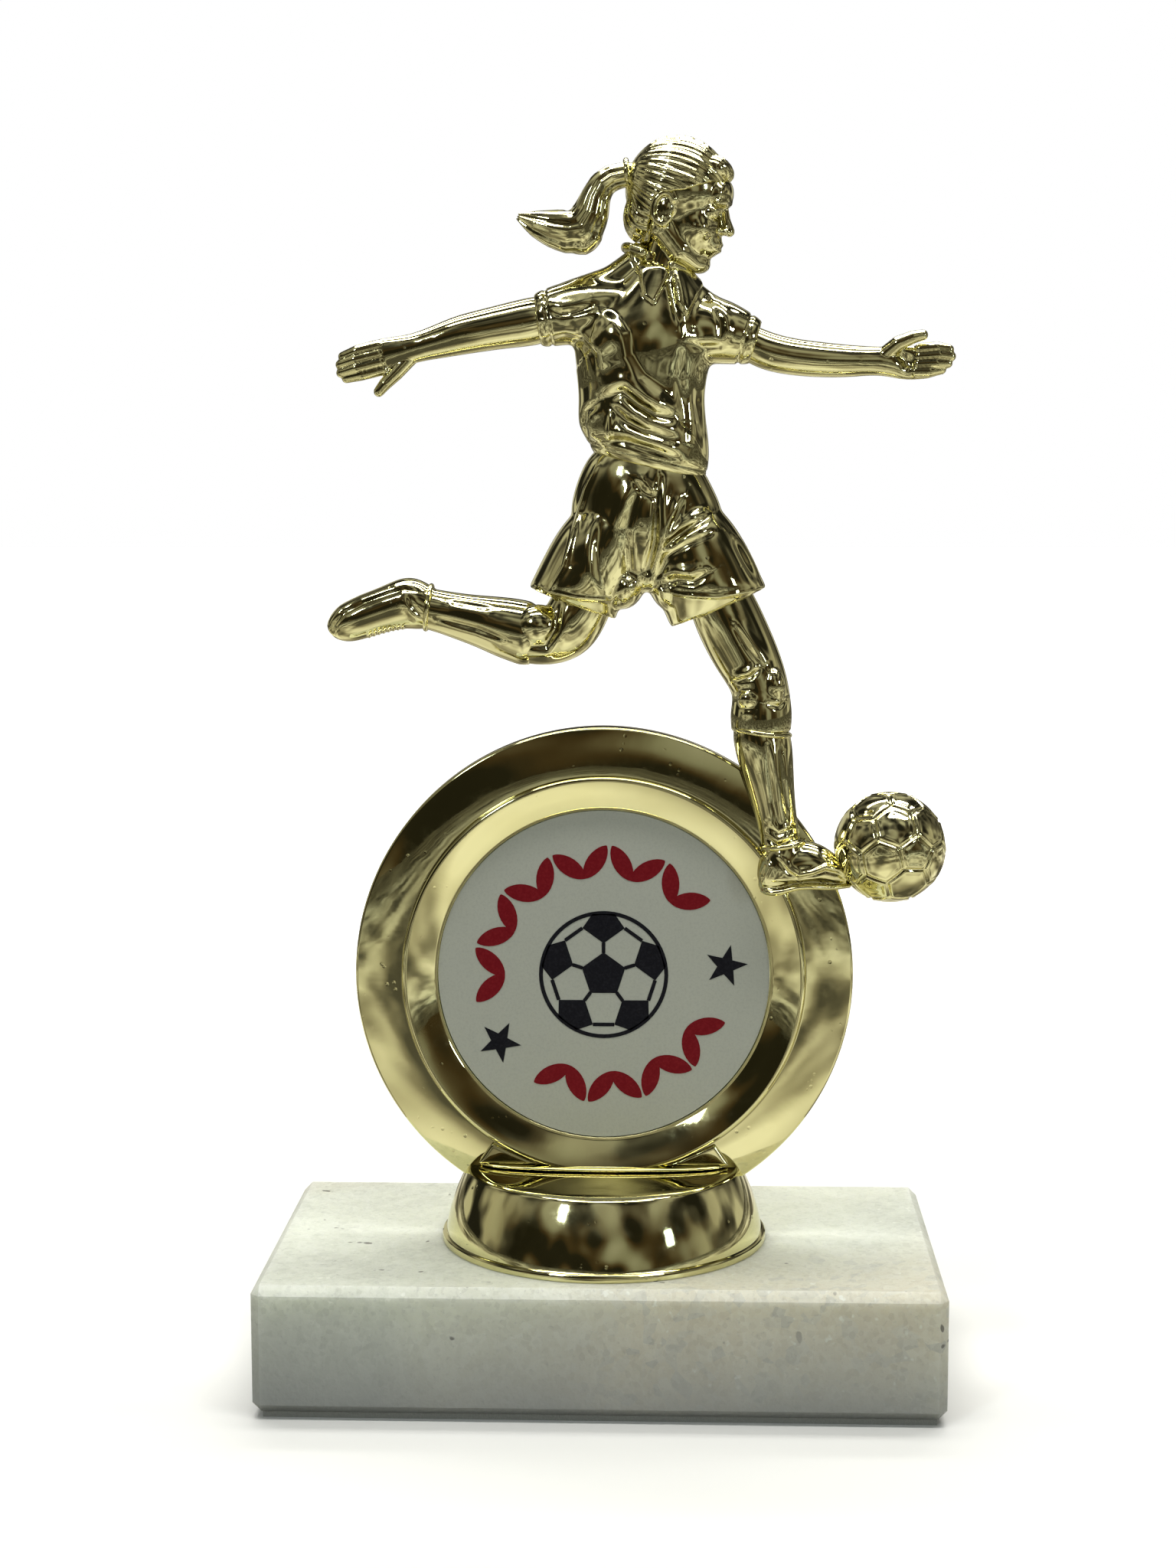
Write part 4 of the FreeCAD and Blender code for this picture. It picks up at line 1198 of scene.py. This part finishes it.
# legs, socks and boots
legShape = {
    "kickingThigh": [
        (-2.6, 0, 119.4, 248, 4.4, 4.4), (-4, 0, 116.6, 244, 4.7, 4.6), (-5.6, 0, 113.9, 228, 4.7, 4.5),
        (-8, 0, 112.9, 204, 4.5, 4.3), (-10.6, 0.1, 113.1, 184, 4.5, 4.3),
        (-13, 0.2, 113.8, 172, 4.6, 4.3),
    ],
    "kickingCalf": ((-9.8, -1.7, 114.7), (3.9, 3.4, 3.3)),
    "kickingSock": [
        (-10.6, 0.1, 113.2, 172, 4.5, 4.2), (-11.8, 0.1, 113.5, 170, 4.95, 4.6),
        (-12.8, 0.2, 113.8, 168, 4.85, 4.6), (-15.4, 0.2, 114.5, 166, 4.6, 4.4),
        (-18.4, 0.3, 115.3, 165, 4, 3.9), (-21.6, 0.3, 116, 165, 3.55, 3.5),
        (-24.8, 0.4, 116.8, 167, 3.2, 3.2), (-28, 0.4, 117.5, 170, 3.1, 3.1),
    ],
    "kickingBoot": [
        (-25.6, 0.4, 117.2, 172, 2.9, 2.9), (-26.6, 0.4, 117.4, 172, 3.3, 3.2),
        (-28.4, 0.4, 118, 178, 3.95, 3.5), (-30.4, 0.4, 118.1, 186, 3.9, 3.4),
        (-33, 0.4, 117.2, 192, 3.4, 3.2), (-36.4, 0.4, 116, 198, 3.25, 3.2), (-39, 0.4, 115, 204, 3.1, 3),
        (-40.7, 0.4, 114.1, 208, 2.2, 2.2), (-41.5, 0.4, 113.7, 210, 1.1, 1.3),
    ],
    "standingThigh": [
        (17, 0, 119.8, 295, 4.7, 4.6), (18.4, -0.2, 116.6, 295, 5.1, 4.9),
        (20, -0.5, 113.2, 296, 5.1, 4.9), (21.8, -0.9, 109.6, 291, 4.9, 4.8),
        (23.3, -1.3, 106.4, 280, 4.5, 4.6), (23.9, -1.6, 104, 271, 4.3, 4.5),
        (23.8, -1.8, 101.6, 268, 4.75, 4.6), (23.8, -2, 99, 270, 4.5, 4.4),
    ],
    "standingKnee": [
        ((25.6, -4.6, 106), (1.7, 1.5, 2.6)), ((22, -4.8, 104), (1.9, 1.5, 1.6)),
        ((22.4, -4.4, 101.8), (1.9, 1.7, 1.6)),
    ],
    "standingSock": [
        (23.8, -2, 99.2, 270, 4.2, 4.2), (24, -2.1, 97.4, 272, 4.45, 4.4),
        (24.5, -2.3, 94.6, 276, 4.2, 4.2), (25.1, -2.5, 91.6, 279, 3.75, 3.9),
        (25.7, -2.7, 88.6, 280, 3.3, 3.5), (26.3, -2.9, 85.6, 280, 3, 3.2),
        (26.8, -3.1, 82.8, 279, 2.95, 3.1), (27.2, -3.2, 80.4, 275, 3.1, 3.2),
    ],
    "bootShaft": [
        (27.4, -3.2, 82.4, 282, 2.7, 2.9), (27.3, -3.2, 81.4, 280, 3.35, 3.4),
        (27, -3.3, 79.2, 274, 3.7, 3.6), (26.8, -3.3, 76.8, 270, 3.5, 3.5),
    ],
    "bootShoe": [
        (23.5, -3.3, 77.2, 0, 1.9, 1.9), (24.2, -3.3, 77.3, 0, 2.9, 2.8), (26.4, -3.3, 77.7, 0, 3.5, 3.4),
        (29, -3.3, 79, -12, 3.9, 3.5), (31.6, -3.3, 79, -24, 3.3, 3.5), (33.8, -3.2, 78.2, -28, 2.6, 3.3),
        (35.6, -3.1, 77.3, -28, 2, 2.9), (37, -3, 76.6, -24, 1.1, 1.8),
    ],
    "bootSole": [
        (23.8, -3.3, 75.2, 0, 0.6, 1.6), (24.6, -3.3, 74.9, 0, 0.85, 2.9),
        (26.6, -3.3, 74.9, 6, 0.95, 3.3), (28.8, -3.3, 75.7, 8, 0.7, 3.1),
        (31.4, -3.3, 75.9, 0, 0.65, 3.4), (34.4, -3.2, 75.6, -4, 0.65, 3.4),
        (37.4, -3, 75.8, 0, 0.5, 2.1),
    ],
    "voxel": 0.17,
    "cuffs": {
        "kickingBootCollar": ((-26.6, 0.4, 117.4, 172, 3.3, 3.2), 0.42),
        "standingSockBand": ((23.9, -2, 98.9, 262, 4.25, 4.35), 0.4),
        "standingBootCollar": ((27.2, -3.2, 81.9, 278, 3.2, 3.3), 0.42),
    },
}
legFolds = {
    "kickingThigh": [(0.5, 0.5, [(-6.4, 118.2), (-7, 114.4), (-8.6, 111.8), (-11.8, 111.6)])],
    "kickingSock": [
        (0.35, 0.4, [(-15, 112.9), (-19, 114.4), (-25, 115.9)]),
        (0.25, 0.4, [(-17, 117.4), (-23, 118.4)]),
    ],
    "kickingSockBack": [(0.35, 0.4, [(-15, 113.9), (-20, 115.4), (-25, 116.9)])],
    "kickingBoot": [
        (
            0.35, 0.35,
            [
                (-40.9, 113), (-40.7, 114.8), (-39.2, 116.7), (-36.4, 118.2), (-33, 119.4), (-30, 120.3),
                (-27.8, 120),
            ],
        ),
        (0.3, 0.4, [(-26.9, 115.8), (-28.4, 117.4), (-29.4, 119.2)]),
    ],
    "standingThigh": [
        (0.4, 0.45, [(19.6, 115), (21.8, 111.6), (24, 108.8)]),
        (0.45, 0.4, [(19.8, 106.6), (22, 107.4), (23.6, 108.8)]),
        (0.35, 0.35, [(24.6, 103.4), (26.4, 103), (27.6, 104)]),
    ],
    "standingSock": [
        (0.45, 0.45, [(24.6, 97.2), (25, 93), (25.6, 88.6), (26.6, 84)]),
        (0.3, 0.35, [(26.6, 96.6), (26.9, 92), (27.6, 87)]),
        (0.35, 0.35, [(24.6, 83.2), (26.2, 82.2), (28.6, 83)]),
        (0.25, 0.3, [(25, 85), (26.4, 83.8), (28.6, 84.6)]),
    ],
    "bootPanel": [
        (26.5, 80.6), (28.1, 78.7), (29.5, 77.8), (31.5, 78.2), (33.5, 79), (35.6, 78.4), (36.9, 77.2),
    ],
    "bootHeel": [(24.2, 80.6), (25.2, 79), (24.4, 77)],
}


def cuffRing(name):
    # a rolled edge round a limb
    station, thickness = legShape["cuffs"][name]
    x, y, z, heading, wide, deep = station
    turn = math.radians(90 - heading)
    points = []
    for i in range(33):
        angle = 2 * math.pi * i / 32
        across = wide * math.cos(angle)
        points.append((x + across * math.cos(turn), y + deep * math.sin(angle), z - across * math.sin(turn)))
    return melt(join(name, [chain(points, [thickness] * len(points))]), 0.12, 4)


def kickingLeg():
    s = legShape
    f = legFolds
    thigh = join("kickingThigh", [tube("thigh", s["kickingThigh"], 32), blob(*s["kickingCalf"])])
    melt(thigh, s["voxel"], 12)
    crease(thigh, f["kickingThigh"])
    soften(thigh, 2)
    finished(thigh, gold, nodes=["kicking_thigh"])
    sock = melt(tube("kickingSock", s["kickingSock"], 32), s["voxel"], 8)
    crease(sock, f["kickingSock"])
    crease(sock, f["kickingSockBack"], facing=1)
    finished(sock, gold, nodes=["kicking_sock"])
    boot = melt(tube("kickingBoot", s["kickingBoot"], 36), s["voxel"], 8)
    laces = []
    for i in range(8):
        across, up = -0.72 * i, -0.16 * i
        laces.append((0.2, 0.2, [(-30.4 + across, 114.9 + up), (-30.7 + across, 113.2 + up)]))
    for facing in (-1, 1):
        crease(boot, f["kickingBoot"], facing)
        ridge(boot, laces, facing)
    soften(boot, 1)
    finished(boot, gold, nodes=["kicking_boot"])
    finished(cuffRing("kickingBootCollar"), gold)


def standingLeg():
    s = legShape
    f = legFolds
    knee = [blob(*lump) for lump in s["standingKnee"]]
    thigh = join("standingThigh", [tube("thigh", s["standingThigh"], 32)] + knee)
    melt(thigh, s["voxel"], 12)
    crease(thigh, f["standingThigh"])
    finished(thigh, gold, nodes=["standing_thigh"])
    finished(cuffRing("standingSockBand"), gold, nodes=["standing_sock_band"])
    sock = melt(tube("standingSock", s["standingSock"], 32), s["voxel"], 8)
    crease(sock, f["standingSock"])
    finished(sock, gold, nodes=["standing_sock"])
    upper = join("standingBoot", [tube("shaft", s["bootShaft"], 36), tube("shoe", s["bootShoe"], 36)])
    melt(upper, s["voxel"], 8)
    boot = melt(join("standingBoot", [upper, tube("sole", s["bootSole"], 36)]), 0.15, 3)
    for facing in (-1, 1):
        crease(boot, [(0.35, 0.30, [(x, z - 0.7) for x, z in f["bootPanel"]])], facing)
        ridge(boot, [(0.32, 0.28, f["bootPanel"]), (0.25, 0.3, f["bootHeel"])], facing)
    soften(boot, 1)
    finished(boot, gold, nodes=["standing_boot"])
    finished(cuffRing("standingBootCollar"), gold)


ballShape = {"seam": 0.22, "seamWidth": 0.2, "roll": 0.1, "turn": (24, 12, 8)}


def ballPiece():
    # a truncated icosahedron's edges, pressed into a fine sphere
    s = ballShape
    centre = (ballBox[0] + ballBox[1]) / 2
    radius = (ballBox[1].x - ballBox[0].x) / 2
    turn = [math.radians(angle) for angle in s["turn"]]
    deselect()
    bpy.ops.mesh.primitive_ico_sphere_add(subdivisions=1, radius=1, rotation=turn)
    cage = settle()
    edit()
    bpy.ops.mesh.bevel(affect="VERTICES", offset_type="PERCENT", offset_pct=100 / 3, segments=1)
    leave()
    corners = coordsOf(cage)
    seams = [tuple(edge.vertices) for edge in cage.data.edges]
    deselect()
    bpy.ops.mesh.primitive_ico_sphere_add(subdivisions=7, radius=radius, location=centre)
    ball = settle()
    ball.name = "ball"
    rays = (coordsOf(ball) - np.array(centre)) / radius
    nearest = np.full(len(rays), 9.0)
    for first, second in seams:
        start, end = [corners[i] / np.linalg.norm(corners[i]) for i in (first, second)]
        normal = np.cross(start, end)
        normal /= np.linalg.norm(normal)
        within = (np.cross(normal, start) @ rays.T > 0) & (np.cross(end, normal) @ rays.T > 0)
        nearest = np.minimum(nearest, np.where(within, np.abs(rays @ normal), 9.0))
    distance = nearest * radius
    shoulder = s["roll"] * bell(distance - 2.4 * s["seamWidth"], 2 * s["seamWidth"])
    pushOut(ball, shoulder - s["seam"] * bell(distance, s["seamWidth"]))
    bpy.data.objects.remove(cage)
    finished(ball, gold, nodes=["ball"])


shirtPiece()
napeCollar()
print("shirt made")
shortsPiece()
armPiece("trailing")
armPiece("leading")
print("shorts and arms made")
headPiece()
hairPiece()
ponytailPiece()
hairTie()
print("head made")
kickingLeg()
standingLeg()
ballPiece()
print("legs and ball made")


# floor, light and camera
studio = {
    "floor": ((0.84, 0.84, 0.82, 1), (0.86, 0.86, 0.85, 1)), "floorNoise": (6,), "floorRoughness": 0.7,
    "fade": (0.16, 0.55), "glow": 1, "unseen": (0.3, 0.3, 0.28, 1), "mirrorNoise": (7, 2),
    "mirrored": [
        (0.38, (0.05, 0.045, 0.035)), (0.46, (0.22, 0.2, 0.16)), (0.54, (0.54, 0.52, 0.46)),
        (0.64, (0.86, 0.85, 0.8)),
    ],
    "room": [
        (0, (0.008, 0.008, 0.005)), (0.46, (0.02, 0.018, 0.011)), (0.52, (0.055, 0.038, 0.018)),
        (0.6, (0.12, 0.1, 0.065)), (0.72, (0.27, 0.27, 0.22)), (1, (0.5, 0.5, 0.46)),
    ],
    "roomNoise": (2.9, 0.7),
    "patches": [(0.4, (0.03, 0.03, 0.028)), (0.49, (0.26, 0.25, 0.24)), (0.6, (1, 1, 0.95))],
    "patchNoise": (2.7, 1.5), "back": (0.6, 0.58, 0.5, 1), "ceiling": (0.6, 0.6, 0.56, 1),
    "wallsFrom": (-0.5, 0.4), "ceilingFrom": (0.35, 0.9),
    "lamps": [
        ("strip", (0.02, -0.16, 0.66), (0.02, -0.16, 0), 2.2, 0.62, 0.075, (1, 0.99, 0.95)),
        ("strip", (0.02, 0.1, 0.66), (0.02, 0.1, 0), 2.5, 0.62, 0.075, (1, 0.99, 0.95)),
        ("strip", (0.02, 0.36, 0.66), (0.02, 0.36, 0), 2.2, 0.62, 0.075, (1, 0.99, 0.95)),
        ("window", (-0.5, -0.75, 0.62), (0, 0, 0.1), 1.6, 0.1, 0.17, (0.84, 0.95, 1)),
        ("sideWindow", (0.75, -0.6, 0.3), (0, 0, 0.08), 1, 0.08, 0.15, (0.8, 0.94, 1)),
    ],
}


def floorPiece():
    # a pale floor that brightens into the backdrop behind the object, and mirrors as a dim clutter
    s = studio
    deselect()
    bpy.ops.mesh.primitive_plane_add(size=8.0, location=(0, 0, 0))
    floor = bpy.context.object
    floor.name = "floor"
    shader = paint("floorPaint")
    seen = shader.ray("Is Camera Ray")
    shown = shader.mix(shader.noise(*s["floorNoise"]), *s["floor"])
    clutter = shader.ramp(shader.noise(*s["mirrorNoise"]), s["mirrored"])
    unseen = shader.mix(shader.ray("Is Glossy Ray"), s["unseen"], clutter)
    away = shader.node("ShaderNodeVectorMath", {"operation": "LENGTH"}, {0: shader.place}, "Value")
    glow = shader.mix(shader.level(away, *s["fade"]) * seen, (0, 0, 0, 1), (1, 1, 1, 1))
    coat(floor, shader.finish(Base_Color=shader.mix(seen, unseen, shown), Roughness=s["floorRoughness"],
                              Emission_Color=glow, Emission_Strength=s["glow"]))


def skyLight():
    # a dim room in front, pale sides and back; the camera itself sees plain white
    s = studio
    world = bpy.data.worlds.new("studio")
    bpy.context.scene.world = world
    sky = Shader(world, "Background", "Generated")
    room = sky.ramp(sky.noise(*s["roomNoise"]), s["room"])
    patches = sky.ramp(sky.noise(*s["patchNoise"]), s["patches"])
    walls = sky.mix(1.0, patches, s["back"], "MULTIPLY")
    above = sky.mix(1.0, patches, s["ceiling"], "MULTIPLY")
    shown = sky.mix(sky.level(sky.axis("Y"), *s["wallsFrom"]), room, walls)
    shown = sky.mix(sky.level(sky.axis("Z"), *s["ceilingFrom"]), shown, above)
    sky.finish(Color=sky.mix(sky.ray("Is Camera Ray"), shown, (1, 1, 1, 1)))


def areaLight(name, place, target, power, width, height, colour):
    data = bpy.data.lights.new(name, "AREA")
    data.shape = "RECTANGLE"
    data.size = width
    data.size_y = height
    data.energy = power
    data.color = colour
    lamp = bpy.data.objects.new(name, data)
    bpy.context.scene.collection.objects.link(lamp)
    lamp.location = place
    lamp.rotation_euler = (Vector(target) - Vector(place)).to_track_quat("-Z", "Y").to_euler()


cameraPlace = {
    "lens": 58.92, "sensor": 36, "place": (0.0122, -0.388, 0.1387), "angles": (82.93, 0.06, 2.15),
}


def cameraPiece():
    s = cameraPlace
    data = bpy.data.cameras.new("camera")
    data.lens = s["lens"]
    data.sensor_width = s["sensor"]
    camera = bpy.data.objects.new("camera", data)
    bpy.context.scene.collection.objects.link(camera)
    camera.location = s["place"]
    camera.rotation_euler = [math.radians(angle) for angle in s["angles"]]
    bpy.context.scene.camera = camera


bpy.context.scene.view_settings.view_transform = "Standard"
floorPiece()
skyLight()
for lamp in studio["lamps"]:
    areaLight(*lamp)
cameraPiece()
print("floor, light and camera made")
